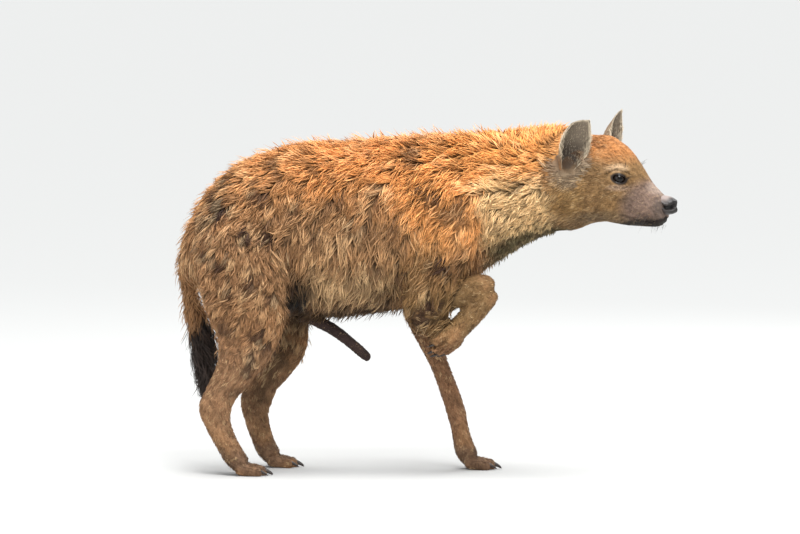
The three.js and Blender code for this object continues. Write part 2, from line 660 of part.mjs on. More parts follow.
// Rows of locks. Each: first and last place on the track, how many, angle round it, how far the tip
// lies along and round from the root, width, thickness, and height of the tip over the core.
const bothSides = (rows) => rows.flatMap(([a, b, n, angle, along, round, ...size]) => [
  [a, b, n, angle, along, round, ...size],
  [a, b, n, 180 - angle, along, -round, ...size],
]);
const LOCKS = {
  neck: lockRows(SPINE, [
    [14.7, 11.5, 9, 90, -0.7, 0, 42, 16, 26],
    ...bothSides([
      [14.4, 11.6, 5, 62, -1.4, -6, 58, 15, 17],
      [14.2, 11.9, 4, 32, -1.5, -12, 64, 14, 12],
      [14.0, 12.6, 2, 4, -1.5, -14, 62, 13, 10],
    ]),
  ], COAT.seed),
  torso: lockRows(SPINE, [
    ...bothSides([
      [10.6, 2.1, 8, 81, -1.35, 2, 56, 15, 17],
      [10.4, 2.5, 7, 56, -1.3, -14, 72, 14, 13],
      [8.9, 5.2, 4, 32, -0.8, -28, 78, 14, 10],
      [8.6, 5.9, 3, 8, -0.5, -34, 82, 13, 10],
      [8.4, 6.1, 3, -22, -0.3, -34, 78, 13, 11],
      [8.3, 6.2, 3, -54, -0.3, -26, 60, 12, 12],
    ]),
  ], COAT.seed + 1),
  fore_right_upper: lockRows(FORE_RIGHT_UPPER, [
    [1.5, 4.3, 3, 160, 1.7, 14, 54, 13, 9],
    [2.0, 4.9, 3, 205, 1.6, 16, 54, 13, 9],
    [3.4, 5.0, 2, 112, 1.6, 20, 40, 12, 11],
  ], COAT.seed + 2),
  fore_left_upper: lockRows(FORE_LEFT, [
    [1.5, 3.4, 3, 15, 1.5, -12, 54, 13, 8],
    [1.9, 3.4, 2, -28, 1.5, -14, 54, 13, 8],
  ], COAT.seed + 3),
  hind_right_upper: lockRows(HIND_RIGHT, [
    [1.7, 3.7, 3, 150, 1.5, 14, 60, 13, 8],
    [1.7, 3.7, 3, 190, 1.5, 14, 60, 13, 8],
    [2.3, 3.7, 2, 232, 1.4, 12, 52, 12, 9],
  ], COAT.seed + 4),
  hind_left_upper: lockRows(HIND_LEFT, [
    [1.7, 3.7, 3, 30, 1.5, -14, 60, 13, 8],
    [1.7, 3.7, 3, -10, 1.5, -14, 60, 13, 8],
    [2.3, 3.7, 2, -52, 1.4, -12, 52, 12, 9],
  ], COAT.seed + 5),
  tail_brush: lockRows(TAIL, [
    [4.3, 6.6, 3, 90, 2.3, 0, 28, 11, 10],
    [4.5, 6.4, 2, 180, 2.2, 0, 28, 11, 9],
    [4.3, 6.6, 3, 270, 2.3, 0, 28, 11, 9],
    [4.5, 6.4, 2, 0, 2.2, 0, 28, 11, 9],
  ], COAT.seed + 6),
};

// Each piece: its name, its solid at a given growth, its colour and finish, in order of right of way.
const LEGS = [
  { name: 'fore_right_upper', track: FORE_RIGHT_UPPER, steps: 12, sides: 16 },
  { name: 'fore_left_upper', track: FORE_LEFT, to: 5, steps: 9, sides: 16 },
  { name: 'hind_right_upper', track: HIND_RIGHT, to: 5.4, steps: 9, sides: 18 },
  { name: 'hind_left_upper', track: HIND_LEFT, to: 5.4, steps: 9, sides: 18 },
  { name: 'fore_right_lower', track: FORE_RIGHT_LOWER, steps: 9, sides: 14 },
  { name: 'fore_left_lower', track: FORE_LEFT, from: 5, to: 9, steps: 7, sides: 14 },
  { name: 'hind_right_lower', track: HIND_RIGHT, from: 5.4, to: 9.2, steps: 7, sides: 14 },
  { name: 'hind_left_lower', track: HIND_LEFT, from: 5.4, to: 9.2, steps: 7, sides: 14 },
];
const FEET = [
  { name: 'fore_right_foot', track: FORE_RIGHT_FOOT, steps: 7, slope: -137, reach: -4, roll: 40 },
  { name: 'fore_left_foot', track: FORE_LEFT, from: 9, steps: 5, slope: -4, reach: 4, rise: -12 },
  { name: 'hind_right_foot', track: HIND_RIGHT, from: 9.2, steps: 6, slope: -4, reach: 4, rise: -12 },
  { name: 'hind_left_foot', track: HIND_LEFT, from: 9.2, steps: 6, slope: -4, reach: 4, rise: -12 },
];

const finish = (colour, roughness) => ({ colour, roughness });
const PIECES = [
  { name: 'eye_right', make: (g) => eyeBall(-1, g), ...finish(COLOURS.eye, 0.1) },
  { name: 'eye_left', make: (g) => eyeBall(1, g), ...finish(COLOURS.eye, 0.1) },
  { name: 'nose', make: (g) => noseSolid(g), cuts: nostrils, ...finish(COLOURS.nose, 0.4) },
  {
    name: 'head',
    make: (g) => fuse([
      loft(HEAD, { steps: 17, sides: 20, grow: g, trim: [SEAM, 0], shape: shapeHead }),
      lidCap(-1), lidCap(1),
    ]),
    cuts: () => [lidOpening(-1), lidOpening(1), mouthGroove(), concha(EARS.right), concha(EARS.left)],
    ...finish(COLOURS.head, 0.8),
  },
  { name: 'ear_right', make: (g) => earShell(EARS.right, g), ...finish(COLOURS.ear, 0.8) },
  { name: 'ear_left', make: (g) => earShell(EARS.left, g), ...finish(COLOURS.ear, 0.8) },
  {
    name: 'neck',
    make: (g) => coated(
      SPINE,
      { from: CHEST, steps: 8, sides: 20, grow: g, trim: [SEAM, 0] },
      LOCKS.neck,
    ),
    ...finish(COLOURS.neck, 0.9),
  },
  {
    name: 'torso',
    make: (g) => coated(SPINE, { to: CHEST, steps: 18, sides: 22, grow: g }, LOCKS.torso),
    ...finish(COLOURS.back, 0.9),
  },
  {
    name: 'sheath',
    make: (g) => loft(SHEATH, { steps: 8, sides: 10, grow: g }),
    ...finish(COLOURS.sheath, 0.6),
  },
  {
    name: 'tail_root',
    make: (g) => loft(TAIL, { to: BRUSH, steps: 7, sides: 12, grow: g }),
    ...finish(COLOURS.tail, 0.9),
  },
  {
    name: 'tail_brush',
    make: (g) => coated(
      TAIL,
      { from: BRUSH, steps: 7, sides: 10, grow: g, trim: [SEAM, 0] },
      LOCKS.tail_brush,
    ),
    ...finish(COLOURS.brush, 0.9),
  },
  ...LEGS.map(({ name, track, from = 0, to, steps, sides }) => ({
    name,
    make: (g) => {
      const options = { from, to, steps, sides, grow: g, trim: [from > 0 ? SEAM : 0, 0] };
      return LOCKS[name] ? coated(track, options, LOCKS[name]) : loft(track, options);
    },
    ...finish(COLOURS.leg, 0.9),
  })),
  ...FEET.map(({ name, track, from = 0, steps, ...set }) => ({
    name,
    make: (g) => aboveFloor(fuse([
      loft(track, { from, steps, sides: 12, grow: g, trim: [from > 0 ? SEAM : 0, 0] }),
      ...toes(track, set, g),
    ]), -g),
    ...finish(COLOURS.foot, 0.85),
  })),
];

/** Boxes of two solids meet. */
function boxesMeet(a, b) {
  const [p, q] = [a.boundingBox(), b.boundingBox()];
  return [0, 1, 2].every((k) => p.min[k] < q.max[k] && q.min[k] < p.max[k]);
}

/** Every piece, each cut clear of those before it. */
function buildPieces() {
  const earlier = [];
  return PIECES.map(({ name, make, cuts, colour, roughness }) => {
    let solid = make(0);
    for (const cut of cuts ? cuts() : []) solid = solid.subtract(cut);
    for (const other of earlier) {
      if (boxesMeet(solid, other)) solid = solid.subtract(other);
    }
    earlier.push(make(GAP));
    return { name, solid: largest(solid).simplify(TOLERANCE), colour, roughness };
  });
}

/** Named mesh of a finished solid. */
function meshOf({ name, solid, colour, roughness }) {
  const { vertProperties, triVerts } = solid.getMesh();
  const geometry = new THREE.BufferGeometry();
  geometry.setAttribute('position', new THREE.BufferAttribute(new Float32Array(vertProperties), 3));
  geometry.setIndex(new THREE.BufferAttribute(new Uint32Array(triVerts), 1));
  geometry.computeVertexNormals();
  const material = new THREE.MeshStandardMaterial({ color: colour, roughness, metalness: 0 });
  const mesh = new THREE.Mesh(geometry, material);
  mesh.name = name;
  return mesh;
}

const animal = new THREE.Group();
buildPieces().forEach((piece) => animal.add(meshOf(piece)));

// The origin is the middle of the whole model's box, on the floor.
const box = new THREE.Box3().setFromObject(animal);
const middle = box.getCenter(new THREE.Vector3());
animal.position.set(-middle.x, -middle.y, 0);

const group = new THREE.Group();
group.add(animal);

export default group;
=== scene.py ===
"""Spotted hyena, life size: one skin, a coat of tufts, eyes, lids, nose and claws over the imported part."""
import logging
import math
from dataclasses import dataclass, field
from enum import Enum

import bmesh
import bpy
import numpy as np
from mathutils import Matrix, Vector
from mathutils.bvhtree import BVHTree
from mathutils.kdtree import KDTree


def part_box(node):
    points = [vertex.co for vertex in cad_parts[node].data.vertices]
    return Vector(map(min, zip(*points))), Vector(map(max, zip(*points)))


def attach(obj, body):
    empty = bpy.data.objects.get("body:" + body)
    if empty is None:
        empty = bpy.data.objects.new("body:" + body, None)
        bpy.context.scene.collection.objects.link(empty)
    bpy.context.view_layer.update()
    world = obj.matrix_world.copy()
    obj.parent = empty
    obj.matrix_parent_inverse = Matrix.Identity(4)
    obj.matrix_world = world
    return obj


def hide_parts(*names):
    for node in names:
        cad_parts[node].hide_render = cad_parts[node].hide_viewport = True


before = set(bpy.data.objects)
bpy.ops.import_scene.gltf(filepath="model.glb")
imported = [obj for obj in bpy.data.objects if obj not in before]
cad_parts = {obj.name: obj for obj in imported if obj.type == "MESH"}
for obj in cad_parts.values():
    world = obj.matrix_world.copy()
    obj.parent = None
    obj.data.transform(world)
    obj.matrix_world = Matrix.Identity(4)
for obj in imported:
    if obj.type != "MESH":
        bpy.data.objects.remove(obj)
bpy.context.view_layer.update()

logging.basicConfig(level=logging.INFO, format="%(message)s")
LOG = logging.getLogger("hyena")

BODY = "root"
HEAD_BASE = np.array([330.0, -18.0])  # axis where head meets neck, millimetres
HEAD_YAW = math.radians(-24)
HEAD_T = np.array([math.cos(HEAD_YAW), math.sin(HEAD_YAW), 0.0])
HEAD_L = np.array([-math.sin(HEAD_YAW), math.cos(HEAD_YAW), 0.0])
UP = np.array([0.0, 0.0, 1.0])
SKIN_REACH = 0.36  # share of the coat's depth that the skin fills
EYE_AT = (142.0, 47.0, 697.0)  # along, side and height of an eyeball's middle
EYE_RADIUS = 15.0
EYE_SUNK = 1.7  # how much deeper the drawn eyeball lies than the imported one
EYE_FORWARD = math.radians(26)
PALE_LOCK = (228, 196, 150)  # colours that whole locks turn to
DARK_LOCK = (92, 62, 40)
TRUNK_COVER = 5.6  # how many tufts of the trunk lie over each other
ROOT_SUNK = 1.2  # how deep a tuft starts in the skin
FLOOR_REACH = 90.0  # metres from the middle of the floor to its edge


def unit(vectors: np.ndarray) -> np.ndarray:
    """Vectors brought to length one."""
    return vectors / np.maximum(np.linalg.norm(vectors, axis=-1, keepdims=True), 1e-9)


def ease(values: np.ndarray, low: float, high: float) -> np.ndarray:
    """Smooth step from 0 at low to 1 at high."""
    share = np.clip((values - low) / (high - low), 0, 1)
    return share * share * (3 - 2 * share)


def flat(vectors: np.ndarray, normals: np.ndarray) -> np.ndarray:
    """Vectors laid into the surface that the normals stand on."""
    return unit(vectors - (vectors * normals).sum(-1, keepdims=True) * normals)


def sway(points: np.ndarray, size: float, seed: int) -> np.ndarray:
    """Soft repeatable noise.

    Args:
        points: places in millimetres.
        size: length of a wave in millimetres.
        seed: number of the draw.

    Returns:
        Values from about -1 to 1.
    """
    draw = np.random.default_rng(seed)
    total = np.zeros(len(points))
    for _ in range(6):
        wave = unit(draw.normal(size=3)) * 2 * math.pi / (size * draw.uniform(0.6, 1.5))
        total += np.sin(points @ wave + draw.uniform(0, 2 * math.pi))
    return total / 2.6


def linear(colour: tuple[int, int, int]) -> np.ndarray:
    """Linear colour of a screen colour from 0 to 255."""
    share = np.array(colour, float) / 255
    return np.where(share <= 0.04045, share / 12.92, ((share + 0.055) / 1.055) ** 2.4)


def tint(colour: np.ndarray, weight: np.ndarray, target: tuple[int, int, int]) -> np.ndarray:
    """Colours drawn towards a screen colour.

    Args:
        colour: linear colours, one row for each point.
        weight: share of the target at each point, from 0 to 1.
        target: screen colour from 0 to 255.

    Returns:
        The mixed linear colours.
    """
    share = np.reshape(weight, (-1, 1))
    return colour * (1 - share) + linear(target) * share


def opaque(colour: np.ndarray) -> np.ndarray:
    """Colours with an alpha of one."""
    return np.concatenate([colour, np.ones((len(colour), 1))], 1)


def along_line(points: np.ndarray, count: int = 60) -> np.ndarray:
    """Evenly counted points along a bent line.

    Args:
        points: corners of the line.
        count: how many points are wanted.

    Returns:
        The points, with as many coordinates as the corners have.
    """
    share = np.linspace(0, len(points) - 1, count)
    corners = np.arange(len(points))
    return np.stack([np.interp(share, corners, column) for column in points.T], -1)


def head_point(along: float, side: float, z: float) -> np.ndarray:
    """Place of the head's own coordinates, in millimetres."""
    point = HEAD_T * along + HEAD_L * side
    return np.array([HEAD_BASE[0] + point[0], HEAD_BASE[1] + point[1], z])


def upright(points: np.ndarray) -> np.ndarray:
    """Points with the head's turn taken out, so that both sides of the animal are alike."""
    along = (points[:, 0] - HEAD_BASE[0]) * HEAD_T[0] + (points[:, 1] - HEAD_BASE[1]) * HEAD_T[1]
    side = (points[:, 0] - HEAD_BASE[0]) * HEAD_L[0] + (points[:, 1] - HEAD_BASE[1]) * HEAD_L[1]
    turned = np.stack([HEAD_BASE[0] + along, side, points[:, 2]], -1)
    weight = ease(along, -110, 0)[:, None] * (points[:, 0] > 150)[:, None]
    return points * (1 - weight) + turned * weight


@dataclass(frozen=True)
class Place:
    """Where the part stands: its own millimetres against the frame's metres."""

    shift: np.ndarray

    @classmethod
    def of_frame(cls) -> "Place":
        """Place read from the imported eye."""
        low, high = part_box("eye_right")
        middle = np.array((low + high) / 2) * 1000
        return cls(middle - head_point(EYE_AT[0], -EYE_AT[1], EYE_AT[2]))

    def metres(self, points: np.ndarray) -> np.ndarray:
        """Frame metres of own millimetres."""
        return (points + self.shift) / 1000

    def millimetres(self, points: np.ndarray) -> np.ndarray:
        """Own millimetres of frame metres."""
        return points * 1000 - self.shift


@dataclass(frozen=True)
class Track:
    """A line of stations across a limb, read at any place on smooth curves."""

    columns: tuple[str, ...]
    rows: tuple[tuple[float, ...], ...]

    @property
    def end(self) -> int:
        """Last place."""
        return len(self.rows) - 1

    def at(self, place: np.ndarray) -> dict[str, np.ndarray]:
        """Numbers of the stations at some places.

        Args:
            place: places on the track.

        Returns:
            One array for each column.
        """
        rows = np.array(self.rows)
        index = np.clip(np.floor(place).astype(int), 0, self.end - 1)
        s = (place - index)[..., None]
        a, b, c, d = (rows[np.clip(index + k, 0, self.end)] for k in (-1, 0, 1, 2))
        s2, s3 = s * s, s * s * s
        value = ((2 * s3 - 3 * s2 + 1) * b + (s3 - 2 * s2 + s) * (c - a) / 2
                 + (3 * s2 - 2 * s3) * c + (s3 - s2) * (d - b) / 2)
        return {name: value[..., k] for k, name in enumerate(self.columns)}

    def axes(self, station: dict[str, np.ndarray]) -> tuple[np.ndarray, ...]:
        """Centre and axes of stations: along, to the left, and up or to the front.

        Args:
            station: numbers of the stations, by column.

        Returns:
            The centre and the three axes.
        """
        zero = np.zeros_like(station["x"])
        yaw, pitch = np.radians(station.get("yaw", zero)), np.radians(station.get("pitch", zero))
        centre = np.stack([station["x"], station["y"], station["z"]], -1)
        along = np.stack([np.cos(pitch) * np.cos(yaw), np.cos(pitch) * np.sin(yaw), np.sin(pitch)], -1)
        left = np.stack([-np.sin(yaw), np.cos(yaw), zero], -1)
        return centre, along, left, np.cross(along, left)

    def outline(self, place: np.ndarray, angle: np.ndarray, grow: float = 0.0) -> np.ndarray:
        """Points of the skin.

        Args:
            place: places on the track.
            angle: angles round it, 0 to the left and a quarter turn to the top or front.
            grow: by how much the skin is moved out.

        Returns:
            Points in millimetres.
        """
        station = self.at(place)
        centre, _, left, up = self.axes(station)
        c, s = np.cos(angle), np.sin(angle)
        bare = 1 - SKIN_REACH
        side = station["side"] - station.get("coatSide", 0) * bare + grow
        tall = np.where(s > 0, station["up"] - station.get("coatUp", 0) * bare,
                        station["down"] - station.get("coatDown", 0) * bare) + grow
        power = 2 / np.where(s > 0, station.get("roundUp", 2.0), station.get("roundDown", 2.0))
        return (centre + left * (side * np.sign(c) * np.abs(c) ** power)[..., None]
                + up * (tall * np.sign(s) * np.abs(s) ** power)[..., None])

    def sleeve(self, first: float, steps: int, sides: int, grow: float) -> np.ndarray:
        """Rings of skin points up to the end of the track.

        Args:
            first: place of the first ring.
            steps: number of rings.
            sides: points on each.
            grow: by how much the skin is moved out.

        Returns:
            Rings, points and coordinates.
        """
        q, a = np.broadcast_arrays(np.linspace(first, self.end, steps)[:, None],
                                   np.linspace(0, 2 * math.pi, sides, endpoint=False)[None])
        return self.outline(q.ravel(), a.ravel(), grow).reshape(steps, sides, 3)

    def depth(self, place: np.ndarray, angle: np.ndarray) -> np.ndarray:
        """Depth of the coat over the skin."""
        station = self.at(place)
        if "coatUp" not in station:
            return np.zeros_like(place)
        c, s = np.cos(angle), np.sin(angle)
        tall = np.where(s > 0, station["coatUp"], station["coatDown"])
        return (c * c * station["coatSide"] + s * s * tall) * (1 - SKIN_REACH)

    def nearest(self, points: np.ndarray) -> tuple[np.ndarray, np.ndarray, np.ndarray]:
        """Where points lie on the track.

        Args:
            points: points in millimetres.

        Returns:
            Place, angle, and distance from the axis as a share of the outline's.
        """
        places = np.linspace(0, self.end, 3 * self.end + 1)
        station = self.at(places)
        centre, along, left, up = self.axes(station)
        best = np.full(len(points), 1e9)
        found = np.zeros(len(points), int)
        for k in range(len(places)):
            gap = points - centre[k]
            x, y, z = gap @ left[k], gap @ up[k], gap @ along[k]
            tall = np.where(y > 0, station["up"][k], station["down"][k])
            ratio = (x / station["side"][k]) ** 2 + (y / tall) ** 2 + (z / (0.35 * tall)) ** 2
            better = ratio < best
            best[better] = ratio[better]
            found[better] = k
        gap = points - centre[found]
        step = np.linalg.norm(np.gradient(centre, places, axis=0), axis=1)
        place = np.clip(places[found] + (gap * along[found]).sum(-1) / step[found], 0, self.end)
        station = self.at(place)
        centre, along, left, up = self.axes(station)
        gap = points - centre
        x, y = (gap * left).sum(-1), (gap * up).sum(-1)
        tall = np.where(y > 0, station["up"], station["down"])
        off = (gap * along).sum(-1) / tall
        ratio = np.sqrt((x / station["side"]) ** 2 + (y / tall) ** 2 + off ** 2)
        return place, np.arctan2(y / tall, x / station["side"]), ratio


SPINE = Track(("x", "y", "z", "up", "down", "side", "yaw", "coatUp", "coatSide", "coatDown"), (
    (-584, 0, 482, 30, 26, 30, 0, 10, 10, 8),
    (-571, 0, 490, 66, 46, 62, 0, 14, 12, 10),
    (-548, 0, 505, 104, 72, 92, 0, 18, 14, 12),
    (-512, 0, 524, 150, 108, 112, 0, 22, 16, 14),
    (-450, 0, 540, 190, 138, 126, 0, 26, 18, 16),
    (-380, 0, 548, 213, 155, 132, 0, 28, 18, 18),
    (-305, 0, 550, 231, 184, 134, 0, 28, 20, 24),
    (-215, 0, 550, 236, 190, 140, 0, 28, 20, 26),
    (-110, 0, 556, 238, 184, 140, 0, 30, 20, 26),
    (-20, 0, 562, 240, 174, 136, 0, 34, 20, 24),
    (60, 0, 578, 229, 172, 128, 0, 38, 20, 22),
    (120, 0, 612, 197, 146, 117, 0, 42, 20, 20),
    (180, -2, 642, 171, 136, 107, -3, 46, 20, 18),
    (240, -6, 664, 155, 123, 99, -7, 48, 20, 18),
    (292, -12, 678, 142, 118, 95, -14, 34, 16, 14),
    (330, -18, 686, 116, 114, 92, -24, 0, 0, 0),
))
HEAD_ROWS = (
    (0, 800, 684, 568, 92, 2.0, 2.0),
    (25, 797, 676, 577, 92, 2.0, 2.1),
    (50, 795, 670, 587, 91, 2.0, 2.2),
    (75, 795, 665, 592, 89, 2.0, 2.3),
    (100, 794, 660, 593, 84, 2.0, 2.4),
    (125, 781, 656, 589, 75, 2.0, 2.4),
    (150, 762, 652, 585, 63, 2.0, 2.4),
    (175, 732, 645, 584, 51, 1.9, 2.5),
    (200, 695, 637, 583, 43, 1.9, 2.5),
    (221, 672, 631, 585, 38, 1.9, 2.5),
    (236, 658, 628, 593, 31, 1.9, 2.4),
    (243, 650, 627, 603, 24, 2.0, 2.2),
)


def head_track() -> Track:
    """The head's track, turned with the head.

    Returns:
        Stations from the neck to the nose.
    """
    rows = []
    for along, top, wide, bottom, side, round_up, round_down in HEAD_ROWS:
        x, y, _ = head_point(along, 0, wide)
        rows.append((x, y, wide, top - wide, wide - bottom, side, math.degrees(HEAD_YAW),
                     round_up, round_down))
    return Track(("x", "y", "z", "up", "down", "side", "yaw", "roundUp", "roundDown"), tuple(rows))


HEAD = head_track()
LEG = ("x", "y", "z", "pitch", "up", "down", "side", "coatUp", "coatDown", "coatSide")
FORE_RIGHT_UPPER = Track(LEG, (
    (112, -66, 716, -100, 34, 44, 20, 8, 8, 8),
    (92, -86, 660, -102, 54, 78, 42, 12, 12, 10),
    (68, -98, 590, -106, 62, 92, 52, 16, 16, 12),
    (44, -104, 515, -108, 62, 86, 54, 20, 18, 14),
    (18, -107, 445, -108, 56, 74, 50, 22, 20, 14),
    (0, -107, 395, -106, 62, 60, 42, 20, 18, 12),
    (-12, -106, 358, -104, 54, 42, 30, 14, 14, 8),
    (-18, -105, 336, -104, 32, 20, 14, 6, 6, 4),
))
FORE_RIGHT_LOWER = Track(LEG, (
    (-52, -104, 388, 12, 18, 18, 16, 0, 0, 0),
    (-38, -104, 392, 12, 33, 33, 30, 0, 0, 0),
    (5, -106, 404, 15, 36, 36, 33, 0, 0, 0),
    (60, -108, 423, 18, 32, 31, 30, 0, 0, 0),
    (106, -109, 440, 14, 33, 30, 29, 0, 0, 0),
    (134, -109, 446, 0, 27, 26, 26, 0, 0, 0),
    (150, -109, 446, -10, 13, 14, 13, 0, 0, 0),
))
FORE_RIGHT_FOOT = Track(LEG, (
    (152, -109, 430, -120, 10, 12, 12, 0, 0, 0),
    (143, -109, 420, -122, 20, 26, 24, 0, 0, 0),
    (116, -109, 396, -130, 27, 30, 28, 0, 0, 0),
    (84, -108, 362, -133, 27, 28, 30, 0, 0, 0),
    (58, -108, 334, -133, 25, 28, 32, 0, 0, 0),
    (40, -108, 315, -133, 21, 24, 29, 0, 0, 0),
))
FORE_LEFT = Track(LEG, (
    (100, 66, 716, -100, 34, 44, 20, 8, 8, 8),
    (82, 86, 660, -102, 54, 78, 42, 12, 12, 10),
    (58, 98, 590, -108, 60, 88, 52, 16, 16, 12),
    (26, 102, 515, -112, 58, 78, 52, 18, 18, 12),
    (-10, 98, 440, -104, 50, 58, 44, 14, 14, 10),
    (-26, 90, 385, -82, 42, 42, 37, 0, 0, 0),
    (-8, 80, 322, -68, 32, 32, 31, 0, 0, 0),
    (21, 68, 250, -68, 24, 24, 25, 0, 0, 0),
    (48, 56, 180, -72, 24, 25, 25, 0, 0, 0),
    (60, 50, 142, -76, 25, 24, 26, 0, 0, 0),
    (72, 44, 92, -72, 22, 22, 26, 0, 0, 0),
    (88, 40, 50, -52, 20, 32, 34, 0, 0, 0),
    (108, 40, 27, -14, 16, 30, 34, 0, 0, 0),
))
HIND_RIGHT = Track(LEG, (
    (-436, -46, 668, -90, 40, 40, 16, 8, 8, 8),
    (-438, -72, 618, -90, 74, 72, 36, 12, 12, 10),
    (-442, -94, 550, -90, 102, 106, 54, 14, 16, 12),
    (-440, -102, 480, -90, 110, 110, 58, 14, 16, 12),
    (-434, -106, 415, -92, 103, 108, 56, 14, 16, 12),
    (-428, -107, 356, -96, 90, 92, 47, 8, 9, 6),
    (-436, -107, 296, -112, 66, 66, 40, 0, 0, 0),
    (-462, -107, 236, -121, 46, 46, 35, 0, 0, 0),
    (-489, -107, 190, -116, 38, 40, 30, 0, 0, 0),
    (-502, -107, 154, -98, 38, 43, 28, 0, 0, 0),
    (-494, -106, 114, -72, 30, 32, 26, 0, 0, 0),
    (-475, -105, 74, -62, 26, 28, 27, 0, 0, 0),
    (-454, -105, 46, -46, 21, 32, 33, 0, 0, 0),
    (-430, -105, 26, -12, 15, 29, 33, 0, 0, 0),
))
HIND_LEFT = Track(LEG, (
    (-420, 54, 672, -90, 46, 46, 18, 8, 8, 8),
    (-410, 78, 620, -88, 78, 80, 40, 12, 12, 10),
    (-396, 94, 550, -86, 100, 106, 54, 14, 16, 12),
    (-382, 102, 480, -86, 104, 110, 58, 14, 16, 12),
    (-372, 106, 415, -88, 96, 106, 56, 14, 16, 12),
    (-362, 106, 352, -94, 80, 88, 47, 8, 9, 6),
    (-350, 105, 292, -108, 60, 62, 40, 0, 0, 0),
    (-370, 104, 238, -117, 46, 46, 34, 0, 0, 0),
    (-395, 102, 196, -112, 38, 40, 30, 0, 0, 0),
    (-410, 100, 156, -96, 38, 42, 28, 0, 0, 0),
    (-410, 98, 114, -76, 30, 31, 26, 0, 0, 0),
    (-398, 96, 74, -66, 26, 28, 27, 0, 0, 0),
    (-382, 95, 46, -46, 21, 32, 33, 0, 0, 0),
    (-360, 95, 26, -12, 15, 29, 33, 0, 0, 0),
))
TAIL = Track(LEG, (
    (-548, 0, 520, -150, 22, 22, 20, 4, 4, 4),
    (-566, 0, 498, -110, 24, 24, 24, 5, 5, 5),
    (-573, 0, 462, -92, 21, 20, 21, 6, 6, 6),
    (-566, 0, 425, -84, 18, 17, 17, 6, 6, 6),
    (-556, 0, 375, -78, 24, 21, 20, 10, 10, 8),
    (-542, 0, 325, -76, 36, 28, 27, 20, 16, 16),
    (-534, 0, 280, -80, 36, 32, 28, 24, 20, 18),
    (-530, 0, 235, -88, 24, 24, 20, 16, 16, 14),
    (-529, 0, 200, -90, 11, 13, 10, 7, 8, 6),
    (-529, 0, 178, -90, 3, 4, 3, 1, 1, 1),
))
SHEATH = Track(LEG, (
    (-318, 0, 390, -36, 17, 17, 17, 0, 0, 0),
    (-272, 0, 358, -32, 16, 16, 17, 0, 0, 0),
    (-228, 0, 334, -34, 15, 15, 16, 0, 0, 0),
    (-186, 0, 302, -40, 14, 14, 14, 0, 0, 0),
    (-152, 0, 272, -44, 13, 13, 13, 0, 0, 0),
    (-142, 0, 263, -44, 9, 9, 9, 0, 0, 0),
))


class Zone(Enum):
    """Parts of the body that carry the coat in their own way."""

    TRUNK = SPINE
    HEAD = HEAD
    FORE_RIGHT_UPPER = FORE_RIGHT_UPPER
    FORE_RIGHT_LOWER = FORE_RIGHT_LOWER
    FORE_RIGHT_FOOT = FORE_RIGHT_FOOT
    FORE_LEFT = FORE_LEFT
    HIND_RIGHT = HIND_RIGHT
    HIND_LEFT = HIND_LEFT
    TAIL = TAIL
    SHEATH = SHEATH


ZONES = list(Zone)
MOUTH = ((150, 611), (170, 605), (195, 598), (218, 596), (234, 600), (243, 608))


def outwards(points: np.ndarray, faces: np.ndarray, middle: np.ndarray | float = 0.0) -> np.ndarray:
    """Triangles of a closed mesh, turned so that they look out.

    Args:
        points: vertices.
        faces: triangles, all wound the same way.
        middle: a place that the volume is measured from.

    Returns:
        The triangles, reversed where they looked in.
    """
    corner = points[faces] - middle
    volume = (corner[:, 0] * np.cross(corner[:, 1], corner[:, 2])).sum()
    return faces[:, ::-1] if volume < 0 else faces


def tube(rings: np.ndarray) -> tuple[np.ndarray, np.ndarray]:
    """Closed mesh through rings of points.

    Args:
        rings: array of rings, points and coordinates.

    Returns:
        Points and triangles.
    """
    count, sides, _ = rings.shape
    points = np.concatenate([rings.reshape(-1, 3), rings[:1].mean(1), rings[-1:].mean(1)])
    start = np.arange(count - 1)[:, None] * sides
    j = np.arange(sides)
    k = (j + 1) % sides
    walls = [np.stack(np.broadcast_arrays(start + j, start + k, start + sides + k), -1),
             np.stack(np.broadcast_arrays(start + j, start + sides + k, start + sides + j), -1)]
    last = (count - 1) * sides
    caps = [np.stack([np.full(sides, count * sides), k, j], -1),
            np.stack([np.full(sides, count * sides + 1), last + j, last + k], -1)]
    faces = np.concatenate([wall.reshape(-1, 3) for wall in walls] + caps)
    return points, outwards(points, faces)


def hoops(centre: np.ndarray, wide: np.ndarray, tall: np.ndarray, side: np.ndarray, up: np.ndarray,
          count: int) -> np.ndarray:
    """Rings of points round a line.

    Args:
        centre: points of the line.
        wide: half width at each.
        tall: half height at each.
        side: direction of the width.
        up: direction of the height.
        count: points on each ring.

    Returns:
        Rings, points and coordinates.
    """
    a = np.linspace(0, 2 * math.pi, count, endpoint=False)
    return (centre[:, None] + wide[:, None, None] * np.cos(a)[None, :, None] * side
            + tall[:, None, None] * np.sin(a)[None, :, None] * up)


def merged(parts: list[tuple[np.ndarray, np.ndarray]]) -> tuple[np.ndarray, np.ndarray]:
    """Several meshes as one.

    Args:
        parts: points and triangles of each.

    Returns:
        Points and triangles of all.
    """
    points, faces, start = [], [], 0
    for vertices, triangles in parts:
        points.append(vertices)
        faces.append(triangles + start)
        start += len(vertices)
    return np.concatenate(points), np.concatenate(faces)


